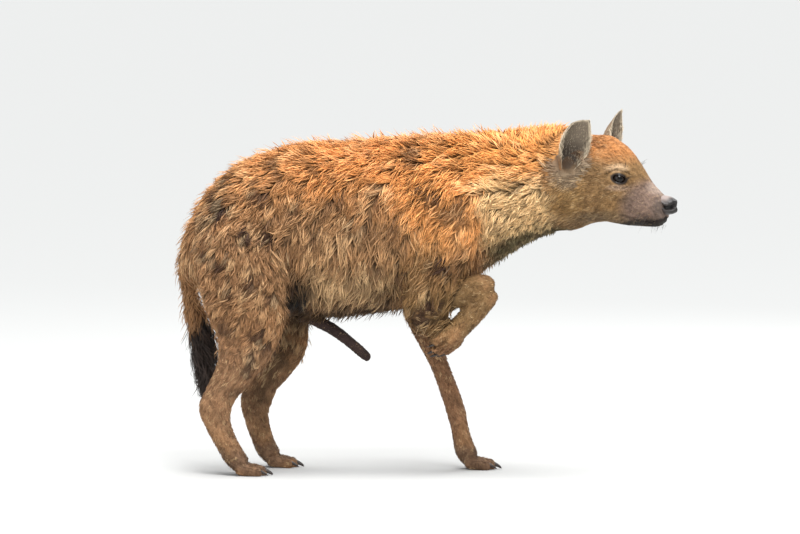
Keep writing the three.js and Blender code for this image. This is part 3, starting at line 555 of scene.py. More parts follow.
def as_object(name: str, points: np.ndarray, faces: np.ndarray) -> bpy.types.Object:
    """A mesh object, smoothly shaded.

    Args:
        name: name of the object.
        points: vertices in frame metres.
        faces: vertex numbers, three or four to a face.

    Returns:
        The object, in the scene.
    """
    mesh = bpy.data.meshes.new(name)
    mesh.vertices.add(len(points))
    mesh.vertices.foreach_set("co", np.ascontiguousarray(points, np.float32).ravel())
    mesh.loops.add(faces.size)
    mesh.loops.foreach_set("vertex_index", np.ascontiguousarray(faces, np.int32).ravel())
    mesh.polygons.add(len(faces))
    mesh.polygons.foreach_set("loop_start", np.arange(0, faces.size, faces.shape[1], dtype=np.int32))
    mesh.update(calc_edges=True)
    mesh.shade_smooth()
    thing = bpy.data.objects.new(name, mesh)
    bpy.context.scene.collection.objects.link(thing)
    return thing


def only(thing: bpy.types.Object) -> None:
    """Make one object the selected and active one."""
    bpy.ops.object.select_all(action="DESELECT")
    thing.select_set(True)
    bpy.context.view_layer.objects.active = thing


def give(mesh: bpy.types.Mesh, name: str, kind: str, values: np.ndarray) -> None:
    """Store values on a mesh's vertices.

    Args:
        mesh: the mesh.
        name: name of the attribute.
        kind: its data type.
        values: one row for each vertex.
    """
    keys = {"FLOAT": "value", "FLOAT_VECTOR": "vector", "FLOAT_COLOR": "color"}
    layer = mesh.attributes.new(name, kind, "POINT")
    layer.data.foreach_set(keys[kind], np.ascontiguousarray(values, np.float32).ravel())


def read(mesh: bpy.types.Mesh, what: str) -> np.ndarray:
    """Vertex places or normals of a mesh.

    Args:
        mesh: the mesh.
        what: co for places, normal for normals.

    Returns:
        One row for each vertex.
    """
    values = np.empty(len(mesh.vertices) * 3, np.float32)
    mesh.vertices.foreach_get(what, values)
    return values.reshape(-1, 3).astype(float)


def put(mesh: bpy.types.Mesh, points: np.ndarray) -> None:
    """Move a mesh's vertices to frame metres."""
    mesh.vertices.foreach_set("co", points.astype(np.float32).ravel())


def soften(thing: bpy.types.Object, factor: float, iterations: int) -> None:
    """Smooth an object's shape for good.

    Args:
        thing: the object.
        factor: strength of each pass.
        iterations: number of passes.
    """
    only(thing)
    smooth = thing.modifiers.new("Soften", "SMOOTH")
    smooth.factor, smooth.iterations = factor, iterations
    bpy.ops.object.modifier_apply(modifier=smooth.name)


def triangles_of(mesh: bpy.types.Mesh) -> np.ndarray:
    """Triangles of a mesh."""
    mesh.calc_loop_triangles()
    corners = np.empty(len(mesh.loop_triangles) * 3, np.int32)
    mesh.loop_triangles.foreach_get("vertices", corners)
    return corners.reshape(-1, 3)


@dataclass(frozen=True)
class Patch:
    """A soft field of colour on both sides of the body."""

    colour: tuple[int, int, int]
    middle: tuple[float, float, float]
    radii: tuple[float, float, float]
    strength: float = 0.8
    edge: float = 0.35

    def weight(self, points: np.ndarray) -> np.ndarray:
        """How strongly the patch colours some points.

        Args:
            points: places in own millimetres.

        Returns:
            Shares from 0 to 1.
        """
        gap = points.copy()
        gap[:, 1] = np.abs(gap[:, 1])
        away = np.linalg.norm((gap - np.array(self.middle)) / np.array(self.radii), axis=1)
        return self.strength * (1 - ease(away, 1 - self.edge, 1 + self.edge))


@dataclass(frozen=True)
class Markings:
    """Colours of the coat, the same on skin and tufts."""

    base: tuple[int, int, int] = (163, 121, 82)
    spot: tuple[int, int, int] = (60, 40, 30)
    sheath: tuple[int, int, int] = (58, 42, 38)
    ear_foot: tuple[int, int, int] = (142, 126, 106)
    # painted shade in the hollow at the foot of each ear
    ear_hollow_shade: tuple[int, int, int] = (62, 54, 48)
    eye_rim: tuple[int, int, int] = (30, 23, 21)
    lips: tuple[int, int, int] = (38, 30, 29)
    patches: tuple[Patch, ...] = (
        Patch((222, 150, 84), (-90, 0, 776), (340, 240, 150), 0.9, 0.5),  # back
        Patch((214, 153, 96), (-460, 0, 700), (170, 210, 110), 0.8, 0.5),  # croup
        Patch((226, 188, 146), (-230, 0, 800), (390, 30, 34), 0.55, 0.6),  # pale line along the top of the back: painted highlight of light from above
        Patch((170, 130, 90), (-200, 150, 560), (240, 110, 110), 0.7, 0.5),  # flank
        Patch((182, 152, 112), (-190, 140, 452), (190, 80, 62), 0.7, 0.5),  # long locks below it
        Patch((60, 45, 27), (-150, 0, 372), (240, 116, 62), 0.95, 0.4),  # belly: painted shade under the body
        Patch((162, 120, 82), (-450, 120, 490), (150, 90, 190), 0.75, 0.5),  # haunch
        Patch((230, 160, 92), (40, 110, 650), (105, 80, 120), 0.85, 0.4),  # shoulder
        Patch((140, 104, 64), (10, 110, 455), (95, 70, 130), 0.8, 0.4),  # upper arm
        Patch((224, 188, 136), (216, 60, 622), (112, 160, 92), 0.95, 0.2),  # neck
        Patch((226, 158, 87), (225, 0, 775), (190, 150, 92), 0.88, 0.45),  # mane
        Patch((82, 75, 50), (225, 0, 552), (160, 84, 66), 0.95, 0.35),  # throat: painted shade under the neck
        Patch((130, 99, 62), (455, 0, 680), (135, 120, 150), 1.0, 0.22),  # head
        Patch((190, 127, 72), (430, 0, 786), (104, 95, 56), 0.9, 0.4),  # forehead
        Patch((162, 128, 80), (356, 92, 640), (44, 44, 76), 0.8, 0.5),  # cheek
        Patch((126, 106, 80), (430, 66, 598), (90, 60, 22), 0.6, 0.5),  # jaw
        Patch((116, 95, 83), (550, 0, 632), (88, 90, 64), 0.95, 0.22),  # muzzle
        Patch((166, 146, 132), (552, 0, 672), (34, 26, 17), 0.75, 0.5),  # bridge behind the nose: painted highlight from above
        Patch((192, 160, 124), (474, 60, 722), (24, 26, 9), 0.8, 0.5),  # brow
        Patch((158, 134, 116), (478, 64, 676), (22, 24, 7), 0.6, 0.5),  # under the eye
        Patch((22, 18, 13), (534, 0, 588), (88, 60, 21), 0.97, 0.3),  # lower lip and chin
        Patch((16, 12, 8), (-304, 104, 418), (33, 60, 78), 1.0, 0.4),  # groin: painted shade in the gap between the flank and the thigh
        Patch((40, 30, 20), (-96, 110, 412), (22, 60, 54), 0.6, 0.5),  # behind the elbow: painted shade in the corner between the elbow and the chest
        Patch((156, 118, 86), (-440, 106, 210), (120, 70, 150), 0.85, 0.35),  # hind leg
        Patch((142, 104, 76), (20, 60, 190), (110, 70, 190), 0.8, 0.35),  # standing forearm
        Patch((124, 96, 60), (60, 108, 400), (115, 44, 90), 0.85, 0.3),  # lifted forearm
        Patch((104, 80, 62), (-415, 100, 26), (120, 70, 44), 0.85, 0.4),  # hind feet
        Patch((104, 80, 62), (110, 40, 26), (90, 70, 44), 0.85, 0.4),  # forefoot
        Patch((74, 56, 36), (-372, 44, 240), (120, 44, 170), 0.8, 0.4),  # inner side of the hind legs: painted shade
        Patch((92, 80, 73), (566, 26, 628), (18, 20, 24), 0.75, 0.5),  # round the nostrils
        Patch((58, 48, 43), (-538, 0, 262), (74, 60, 112), 1.0, 0.12),  # brush
    )
    spots: tuple[tuple[float, float, float, float], ...] = (
        # x, height, radius, strength
        (35, 491, 17, 0.85), (-5, 658, 13, 0.6), (19, 651, 12, 0.6), (-21, 726, 12, 0.5),
        (-59, 475, 14, 0.6), (5, 392, 15, 0.7), (-24, 357, 13, 0.6), (66, 616, 22, 0.5),
        (240, 656, 11, 0.5), (-479, 616, 21, 0.8), (-512, 522, 15, 0.7), (-482, 494, 15, 0.7),
        (-430, 550, 15, 0.7), (-376, 557, 16, 0.7), (-388, 651, 14, 0.6), (-463, 674, 14, 0.6),
        (-395, 334, 15, 0.6), (-381, 310, 13, 0.6), (-423, 287, 13, 0.6), (-428, 259, 12, 0.6),
        (-300, 620, 14, 0.45), (-262, 560, 13, 0.4), (-210, 640, 15, 0.45), (-160, 580, 13, 0.4),
        (-120, 650, 14, 0.45), (-70, 590, 14, 0.45), (-340, 700, 14, 0.45), (-250, 700, 13, 0.4),
        (-330, 500, 14, 0.45), (-130, 500, 13, 0.4), (-530, 590, 13, 0.6), (-470, 420, 14, 0.6),
        (-415, 440, 14, 0.6), (-370, 410, 13, 0.5), (-470, 350, 13, 0.5), (-450, 200, 10, 0.4),
    )

    def colours(self, points: np.ndarray, zone: np.ndarray | None = None) -> np.ndarray:
        """Linear colours of points of the body.

        Args:
            points: places in own millimetres.
            zone: numbers of the zones, where known.

        Returns:
            Red, green and blue for each point.
        """
        even = upright(points)
        drift = 9 - 8 * ease(even[:, 0], 330, 400)[:, None]
        even = even + drift * np.stack([sway(even, 46, seed) for seed in (3, 4, 5)], -1)
        colour = np.tile(linear(self.base), (len(points), 1))
        for patch in self.patches:
            colour = tint(colour, patch.weight(even), patch.colour)
        for x, z, radius, strength in self.spots:
            lift = 20 * float(ease(np.array(z), 330, 420))  # the hair above hides a spot's upper part
            away = np.hypot(even[:, 0] - x, even[:, 2] - z - lift) / (radius * 1.5)
            weight = min(strength * 1.35, 1.0) * (1 - ease(away, 0.5, 1.25))
            colour = tint(colour, weight * (np.abs(even[:, 1]) > 34), self.spot)
        if zone is not None:
            colour[zone == ZONES.index(Zone.SHEATH)] = linear(self.sheath)
        for ear in EARS.values():
            away = ear.hollow(points)[0]
            ring = ease(away, 0.8, 1.1) * (1 - ease(away, 1.5, 2.0))
            colour = tint(colour, 0.75 * ring, self.ear_foot)
            # darker hollow at the foot of the ear: painted shade
            colour = tint(colour, 0.85 * (1 - ease(away, 0.8, 1.15)), self.ear_hollow_shade)
        for hand in (-1, 1):
            rim, crease, tear = EyeSet(hand).eye_marks_and_fold_shade(points)
            colour = tint(colour, np.clip(0.95 * rim + 0.8 * tear, 0, 0.95), self.eye_rim)
            # painted shade in the folds over and under the eye
            colour = colour * (1 - 0.5 * crease[:, None])
        # painted shade in the grooves between the toes
        colour = colour * (1 - 0.72 * toe_grooves(points)[:, None])
        colour = tint(colour, 0.85 * np.exp(-(mouth_distance(points) / 3.4) ** 2), self.lips)
        face = ease(even[:, 0], 330, 400)
        grain = 0.09 * sway(even, 70, 8) + 0.07 * sway(even, 22, 9) + 0.2 * face * sway(even, 9, 12)
        grain += (0.1 * face + 0.12 * (1 - ease(even[:, 2], 330, 420))) * sway(even, 24, 13)
        return colour * (1 + grain)[:, None]


def mouth_line() -> np.ndarray:
    """Points of the mouth line on both sides, in the head's own coordinates.

    Returns:
        Along, side and height of points from the corner to the middle.
    """
    half = []
    rows = np.array(HEAD_ROWS, float)
    for along, z in MOUTH[:-1]:
        top, wide, bottom, side = (np.interp(along, rows[:, 0], rows[:, k]) for k in (1, 2, 3, 4))
        power = np.interp(along, rows[:, 0], rows[:, 6])
        share = min((wide - z) / (wide - bottom), 0.97)
        half.append((along, side * (1 - share ** power) ** (1 / power), z))
    return along_line(np.array(half + [(MOUTH[-1][0], 0, MOUTH[-1][1])]))


MOUTH_LINE = mouth_line()


def in_head(points: np.ndarray) -> np.ndarray:
    """Head coordinates of points: along, to the left, and height."""
    gap = points[:, :2] - HEAD_BASE
    return np.stack([gap @ HEAD_T[:2], gap @ HEAD_L[:2], points[:, 2]], -1)


def mouth_distance(points: np.ndarray) -> np.ndarray:
    """Distance to the mouth line, far from the head a large one.

    Args:
        points: places in own millimetres.

    Returns:
        Millimetres.
    """
    own = in_head(points)
    own[:, 1] = np.abs(own[:, 1])
    near = (own[:, 0] > 120) & (own[:, 2] < 640) & (own[:, 2] > 560)
    distance = np.full(len(points), 1e3)
    if near.any():
        distance[near] = np.linalg.norm(own[near][:, None] - MOUTH_LINE[None], axis=2).min(1)
    return distance


@dataclass(frozen=True)
class Toe:
    """A toe's sizes in millimetres, and how the four of a paw stand."""

    length: float = 44
    spacing: float = 18
    radius: float = 14
    claw: float = 17

    def places(self, track: Track, slope: float, reach: float, rise: float, roll: float) -> list[tuple]:
        """Knuckle and axes of each toe of a paw.

        Args:
            track: the leg.
            slope: degrees by which the toes rise to their tips.
            reach: how far the knuckles lie past the end of the leg.
            rise: how far they lie over it.
            roll: turn of the paw about its length, in degrees.

        Returns:
            For each toe its knuckle and its axes along, to the left and up.
        """
        centre, *_ = track.axes(track.at(np.array([float(track.end)])))
        found = []
        for place in (-1.5, -0.5, 0.5, 1.5):
            t, l, u = self.axes(slope, 0, roll)
            back = 11 if abs(place) > 1 else 0
            knuckle = centre[0] + l * place * self.spacing + t * (reach - back) + u * rise
            found.append((knuckle, *self.axes(slope, place * 5, roll)))
        return found

    @staticmethod
    def axes(slope: float, turn: float, roll: float) -> tuple:
        """Axes at a slope, a turn and a roll in degrees.

        Args:
            slope: rise to the tip.
            turn: turn to the left.
            roll: turn about the length.

        Returns:
            Directions along, to the left and up.
        """
        a, p, r = math.radians(turn), math.radians(slope), math.radians(roll)
        t = np.array([math.cos(p) * math.cos(a), math.cos(p) * math.sin(a), math.sin(p)])
        left = np.array([-math.sin(a), math.cos(a), 0])
        up = np.cross(t, left)
        return t, left * math.cos(r) + up * math.sin(r), up * math.cos(r) - left * math.sin(r)

    def rings(self, knuckle: np.ndarray, t: np.ndarray, l: np.ndarray, u: np.ndarray) -> np.ndarray:
        """Rings of points of a toe.

        Args:
            knuckle: where the toe starts.
            t: direction along it.
            l: direction to its left.
            u: direction up.

        Returns:
            Rings, points and coordinates.
        """
        s = np.array([-0.4, -0.2, 0.05, 0.3, 0.5, 0.68, 0.82, 0.93, 1.0])
        tall = self.radius * np.array([0.7, 0.86, 1.0, 0.97, 0.9, 0.93, 0.86, 0.64, 0.3])
        wide = self.radius * 0.61 * np.array([0.8, 0.92, 1.02, 0.96, 0.95, 1.06, 1.0, 0.74, 0.36])
        centre = knuckle + np.outer(s * self.length, t) - np.outer(5 * s * s, u)
        return hoops(centre, wide, tall, l, u, 20)

    def claw_rings(self, knuckle: np.ndarray, t: np.ndarray, l: np.ndarray, u: np.ndarray) -> np.ndarray:
        """Rings of points of a blunt claw that bends down.

        Args:
            knuckle: where the toe starts.
            t: direction along it.
            l: direction to its left.
            u: direction up.

        Returns:
            Rings, points and coordinates.
        """
        s = np.linspace(0, 1, 8)
        size = 4.4 * (1 - s) ** 0.6 + 0.7
        centre = (knuckle + np.outer((0.8 + 0.2 * s) * self.length + self.claw * s * 0.9, t)
                  + np.outer(1 - 9 * s ** 1.8, u))
        return hoops(centre, 0.72 * size, size, l, u, 12)


TOE = Toe()
PAWS = {  # last track of the leg, then slope, reach, rise and roll of its toes
    "fore_right": (FORE_RIGHT_FOOT, -137.0, -4.0, 0.0, 40.0),
    "fore_left": (FORE_LEFT, -4.0, 4.0, -12.0, 0.0),
    "hind_right": (HIND_RIGHT, -4.0, 4.0, -12.0, 0.0),
    "hind_left": (HIND_LEFT, -4.0, 4.0, -12.0, 0.0),
}


def paw_distance(points: np.ndarray) -> np.ndarray:
    """Distance to the middle of the nearest paw's toes.

    Args:
        points: places in own millimetres.

    Returns:
        Millimetres.
    """
    away = np.full(len(points), 1e3)
    for track, slope, *stance in PAWS.values():
        spots = [knuckle + t * 0.45 * TOE.length for knuckle, t, *_ in TOE.places(track, slope, *stance)]
        away = np.minimum(away, np.linalg.norm(points - np.mean(spots, axis=0), axis=1))
    return away


def toe_grooves(points: np.ndarray) -> np.ndarray:
    """How deep points lie in the grooves between a paw's toes, from 0 to 1.

    Args:
        points: places in own millimetres.

    Returns:
        Shares from 0 to 1.
    """
    deepest = np.zeros(len(points))
    near = np.nonzero(paw_distance(points) < 48)[0]
    for track, slope, *stance in PAWS.values():
        toes = TOE.places(track, slope, *stance)
        for (first, t, left, up), (second, *_) in zip(toes[:-1], toes[1:]):
            gap = points[near] - (first + second) / 2
            along, across, high = gap @ t, gap @ left, gap @ up
            groove = np.exp(-(across / 2.0) ** 2) * ease(along, 4, 16) * (1 - ease(along, 46, 52))
            deepest[near] = np.maximum(deepest[near], groove * (np.abs(high) < 26) * (np.abs(across) < 9))
    return deepest


@dataclass(frozen=True)
class Ear:
    """A cupped ear, in millimetres."""

    base: np.ndarray
    rise: tuple[float, float, float]
    opening: tuple[float, float, float]
    slant: float
    height: float = 127
    width: float = 71.4
    thickness: float = 3.4
    cup: float = 26
    lean: float = 5
    tuck: float = 16
    rows: int = 30
    columns: int = 38

    def axes(self) -> tuple[np.ndarray, np.ndarray, np.ndarray]:
        """Directions to the tip, out of the cup and across it."""
        up = unit(np.array(self.rise))
        front = np.array(self.opening)
        front = unit(front - up * (front @ up))
        return up, front, np.cross(up, front)

    def hollow(self, points: np.ndarray) -> tuple[np.ndarray, np.ndarray]:
        """The hollow at the foot of the cup.

        Args:
            points: places in millimetres.

        Returns:
            How far across it each point lies, 1 on its edge, and how far the point moves to its floor.
        """
        up, front, across = self.axes()
        gap = points - (self.base + up * 30 - front * 9)
        x, y, z = gap @ across / 26, gap @ up / 44, gap @ front
        away = np.sqrt(x * x + y * y)
        floor = -19 * np.sqrt(np.maximum(1 - away * away, 0))
        near = (away < 1) & (z > floor) & (z < 30)
        return np.where(np.abs(z) < 34, away, 9.0), np.where(near, floor - z, 0)

    def sheet(self, depth: float, scale: float = 1.0) -> np.ndarray:
        """Grid of points of the inner or outer face.

        Args:
            depth: how far the face lies inside the outer one.
            scale: share of the full size.

        Returns:
            Rows, columns and coordinates.
        """
        up, front, across = self.axes()
        v = np.linspace(0, 1, self.rows + 1)[:, None]
        u = np.linspace(-1, 1, self.columns + 1)[None]
        radius = (self.width / 2) * (0.45 + 0.17 * v + 0.5 * np.sin(np.pi * v)) - depth
        wrap = np.radians(118 - 64 * v)
        tall = 1 - self.slant * v * ((1 - u) / 2) ** 1.4
        rise = self.height * v * tall - 10
        wide = radius * np.sin(u * wrap) / np.maximum(np.sin(wrap), 0.8) + self.lean * v * v
        deep = -radius * (np.cos(u * wrap) - 0.2) * (self.cup / 30) - self.tuck * (1 - v) ** 2
        ones = np.ones_like(u)
        return (self.base + (rise * ones * scale)[..., None] * up
                + (wide * ones)[..., None] * across + (deep * ones)[..., None] * front)

    def mesh(self) -> tuple[np.ndarray, np.ndarray, np.ndarray]:
        """Closed shell.

        Returns:
            Points, triangles, and for each point how far it lies inside the cup, to the rim and up.
        """
        outer, inner = self.sheet(0.4), self.sheet(self.thickness)
        wide, count = self.columns + 1, outer.shape[0] * outer.shape[1]
        grid = np.arange(count).reshape(outer.shape[:2])
        a, b, c, d = grid[:-1, :-1], grid[:-1, 1:], grid[1:, 1:], grid[1:, :-1]
        front = np.concatenate([np.stack([a, b, c], -1), np.stack([a, c, d], -1)]).reshape(-1, 3)
        rim = np.concatenate([grid[0], grid[1:, -1], grid[-1, -2::-1], grid[-2:0:-1, 0]])
        after = np.roll(rim, -1)
        wall = np.concatenate([np.stack([after, rim, rim + count], -1),
                               np.stack([after, rim + count, after + count], -1)])
        faces = np.concatenate([front, front[:, ::-1] + count, wall])
        points = np.concatenate([outer.reshape(-1, 3), inner.reshape(-1, 3)])
        faces = outwards(points, faces, points.mean(0))
        v = np.repeat(np.linspace(0, 1, outer.shape[0]), wide)
        u = np.tile(np.linspace(-1, 1, wide), outer.shape[0])
        inside = np.repeat([0.0, 1.0], count)
        return points, faces, np.stack([inside, np.tile(u, 2), np.tile(v, 2)], -1)


EARS = {
    "right": Ear(head_point(35, -90, 722), (0.22, -0.16, 1), (0.42, -0.9, 0.1), 0.11),
    "left": Ear(head_point(75, 76, 742), (0.2, 0.2, 1), (0.94, -0.3, 0.1), 0.5),
}


@dataclass(frozen=True)
class Form:
    """A swelling or hollow of the head, the same on both sides."""

    along: float
    side: float
    z: float
    radius: float
    depth: float

    def push(self, own: np.ndarray) -> np.ndarray:
        """How far points move out, for their head coordinates.

        Args:
            own: along, side and height.

        Returns:
            Millimetres.
        """
        even = own.copy()
        even[:, 1] = np.abs(even[:, 1])
        away = np.linalg.norm(even - np.array([self.along, self.side, self.z]), axis=1)
        return self.depth * np.exp(-(away / self.radius) ** 2)


@dataclass
class Skin:
    """The one skin under the coat."""

    place: Place
    voxel: float = 0.0066
    short_coat: float = 3.0
    side_forms: tuple[Form, ...] = (
        Form(150, 42, 716, 24, 5), Form(168, 50, 684, 17, -6), Form(108, 88, 664, 34, 4),
        Form(112, 66, 742, 30, -5), Form(60, 86, 620, 34, 4), Form(214, 42, 622, 20, 4),
        Form(200, 30, 664, 22, -4), Form(140, 62, 612, 24, -3),
    )
    fine_forms: tuple[Form, ...] = (
        Form(152, 46, 716, 13, 2.2),  # brow
        Form(147, 57, 709, 7, -1.4),  # fold over the lid
        Form(149, 60, 682, 8, 1.5),  # bag under the eye
        Form(160, 57, 676, 7, -1.2),  # fold under the bag
        Form(168, 46, 689, 8, -2.2),  # tear duct
        Form(190, 38, 652, 12, -1.8),  # side of the muzzle
        Form(128, 76, 640, 22, -3.0),  # cheek
        Form(212, 40, 622, 16, 2.2),  # whisker pad
        Form(146, 62, 612, 8, -2.0),  # corner of the mouth
        Form(232, 24, 642, 9, 2.0),  # wing of the nostril
        Form(224, 10, 588, 14, 2.0),  # chin
        Form(132, 0, 781, 16, -2.0),  # furrow of the forehead
        Form(138, 22, 778, 16, 1.6),  # beside it
    )
    body_forms: tuple[tuple[tuple[float, float, float], float, float], ...] = (
        ((96, 118, 640), 40, 5), ((70, 128, 560), 44, 5), ((120, 90, 560), 30, -6),
        ((-20, 118, 600), 40, -5), ((-330, 122, 520), 44, -7), ((-440, 150, 520), 60, 5),
        ((-392, 132, 380), 40, 5), ((-455, 118, 268), 24, -4), ((-505, 106, 168), 15, 3),
        ((-480, 118, 205), 16, -3), ((-560, 40, 560), 40, 5), ((-306, 120, 404), 30, -12),
        ((-100, 122, 425), 28, -6),
    )

    def head_mesh(self) -> tuple[np.ndarray, np.ndarray]:
        """The head alone, finely meshed.

        Returns:
            Points and triangles.
        """
        rings = HEAD.sleeve(0, 110, 120, -1.2)
        own = in_head(rings.reshape(-1, 3))
        hand = np.sign(own[:, 1])
        push = sum(form.push(own) for form in self.side_forms)
        points = rings.reshape(-1, 3) + HEAD_L * (hand * push)[:, None]
        return tube(points.reshape(rings.shape))

    def limb(self, track: Track, grow: float) -> tuple[np.ndarray, np.ndarray]:
        """A limb, finely meshed.

        Args:
            track: the limb.
            grow: by how much it is moved out.

        Returns:
            Points and triangles.
        """
        return tube(track.sleeve(0, track.end * 10 + 1, 72, grow))

    def paw_mesh(self) -> tuple[np.ndarray, np.ndarray]:
        """All toes and the ends of the legs.

        Returns:
            Points and triangles.
        """
        parts = []
        for track, *stance in PAWS.values():
            parts.append(tube(track.sleeve(max(track.end - 3, 0), 30, 60, -self.short_coat * 0.6)))
            parts += [tube(TOE.rings(*spot)) for spot in TOE.places(track, *stance)]
        return merged(parts)

    def build(self) -> bpy.types.Object:
        """The skin without ears, in the scene."""
        tracks = [zone.value for zone in ZONES if zone is not Zone.HEAD]
        parts = [self.limb(track, -self.short_coat if track not in (SPINE, TAIL, SHEATH) else -0.8)
                 for track in tracks]
        points, faces = merged([self.head_mesh(), self.paw_mesh(), *parts])
        skin = as_object("skin", self.place.metres(points), faces)
        only(skin)
        skin.data.remesh_voxel_size = self.voxel
        bpy.ops.object.voxel_remesh()
        soften(skin, 0.5, 6)
        self.refine(skin)
        self.fit(skin)
        self.sculpt(skin)
        return skin

    def refine(self, skin: bpy.types.Object) -> None:
        """Finer mesh on the head and paws, and finest round eyes, mouth and toes.

        Args:
            skin: the skin, changed in place.
        """
        for finest in (False, True):
            shape = bmesh.new()
            shape.from_mesh(skin.data)
            middles = np.array([face.calc_center_median() for face in shape.faces])
            points = self.place.millimetres(middles)
            own = in_head(points)
            if finest:
                eye = np.linalg.norm(np.abs(own) - np.array(EYE_AT), axis=1) < 30
                chosen = (own[:, 0] > 100) & (eye | (mouth_distance(points) < 9))
                chosen |= paw_distance(points) < 38
            else:
                chosen = (own[:, 0] > 10) | (paw_distance(points) < 58)
            shape.faces.ensure_lookup_table()
            edges = {edge for k in np.nonzero(chosen)[0] for edge in shape.faces[k].edges}
            bmesh.ops.subdivide_edges(shape, edges=list(edges), cuts=1, use_grid_fill=True)
            shape.to_mesh(skin.data)
            shape.free()

    def fit(self, skin: bpy.types.Object) -> None:
        """Lay the finer parts back on the head and the paws.

        Args:
            skin: the skin, changed in place.
        """
        points = self.place.millimetres(read(skin.data, "co"))
        own = in_head(points)
        for (vertices, faces), weight in (
            (self.head_mesh(), ease(own[:, 0], 12, 40) * (1 - ease(own[:, 0], 238, 242))),
            (self.paw_mesh(), 0.95 * (1 - ease(paw_distance(points), 44, 60))),
        ):
            tree = BVHTree.FromPolygons(vertices.tolist(), faces.tolist())
            for k in np.nonzero(weight > 0.01)[0]:
                spot, _, _, distance = tree.find_nearest(Vector(points[k]))
                if distance < 7:
                    points[k] += (np.array(spot) - points[k]) * weight[k]
        put(skin.data, self.place.metres(points))
        soften(skin, 0.4, 2)

    def sculpt(self, skin: bpy.types.Object) -> None:
        """Muscles, folds, lids and the mouth, pushed out of or into the skin.

        Args:
            skin: the skin, changed in place.
        """
        points = self.place.millimetres(read(skin.data, "co"))
        normals = read(skin.data, "normal")
        own = in_head(points)
        head = ease(own[:, 0], 10, 40)
        push = head * sum(form.push(own) for form in self.fine_forms)
        line = mouth_distance(points)
        push += -2.6 * np.exp(-(line / 2.6) ** 2) + 1.1 * np.exp(-((line - 6.5) / 3.5) ** 2)
        for (x, y, z), radius, depth in self.body_forms:
            away = np.linalg.norm(np.stack([points[:, 0] - x, np.abs(points[:, 1]) - y,
                                            points[:, 2] - z], -1), axis=1)
            push += depth * np.exp(-(away / radius) ** 2)
        for hand in (-1, 1):
            a, b, _ = EyeSet(hand).local(points)
            _, crease, tear = EyeSet(hand).eye_marks_and_fold_shade(points)
            away = EyeSet(hand).opening(a, b)
            ridge = np.exp(-((away - 2.55) / 0.32) ** 2) * ease(b, 4, 12) * (np.hypot(a, b) < 48) * head
            push += 2.2 * ridge * (own[:, 1] * hand > 0) - 1.8 * crease - 1.6 * tear
        push -= 3.6 * toe_grooves(points)
        points += normals * push[:, None]
        for hand in (-1, 1):
            self.open_eye(points, hand)
        for ear in EARS.values():
            _, move = ear.hollow(points)
            points += ear.axes()[1] * move[:, None]
        points[:, 2] = np.maximum(points[:, 2], 0.4 - self.place.shift[2])
        put(skin.data, self.place.metres(points))
        skin.data.update()

    @staticmethod
    def open_eye(points: np.ndarray, hand: int) -> None:
        """Hollow the skin behind an eye and drape it round the eyeball.

        Args:
            points: skin points, changed in place.
            hand: -1 for the right side and 1 for the left.
        """
        eye = EyeSet(hand)
        a, b, c = eye.local(points)
        near = (np.hypot(a, b) < 27) & (c > -6) & (c < 26)
        a, b, c = a[near], b[near], c[near]
        away = eye.opening(a, b)
        ball = np.sqrt(np.maximum(EYE_RADIUS ** 2 - a * a - b * b, 0))
        lid = np.sqrt(np.maximum((EYE_RADIUS + 2.2) ** 2 - a * a - b * b, 0))
        drape = 1 - ease(away, 1.25, 2.1)
        new = np.maximum(c, lid * (lid > 4)) * drape + c * (1 - drape)
        hollow = 1 - ease(away, 0.82, 1.08)
        new = new * (1 - hollow) + (ball - 5) * hollow
        points[near] += eye.out * (new - c)[:, None]


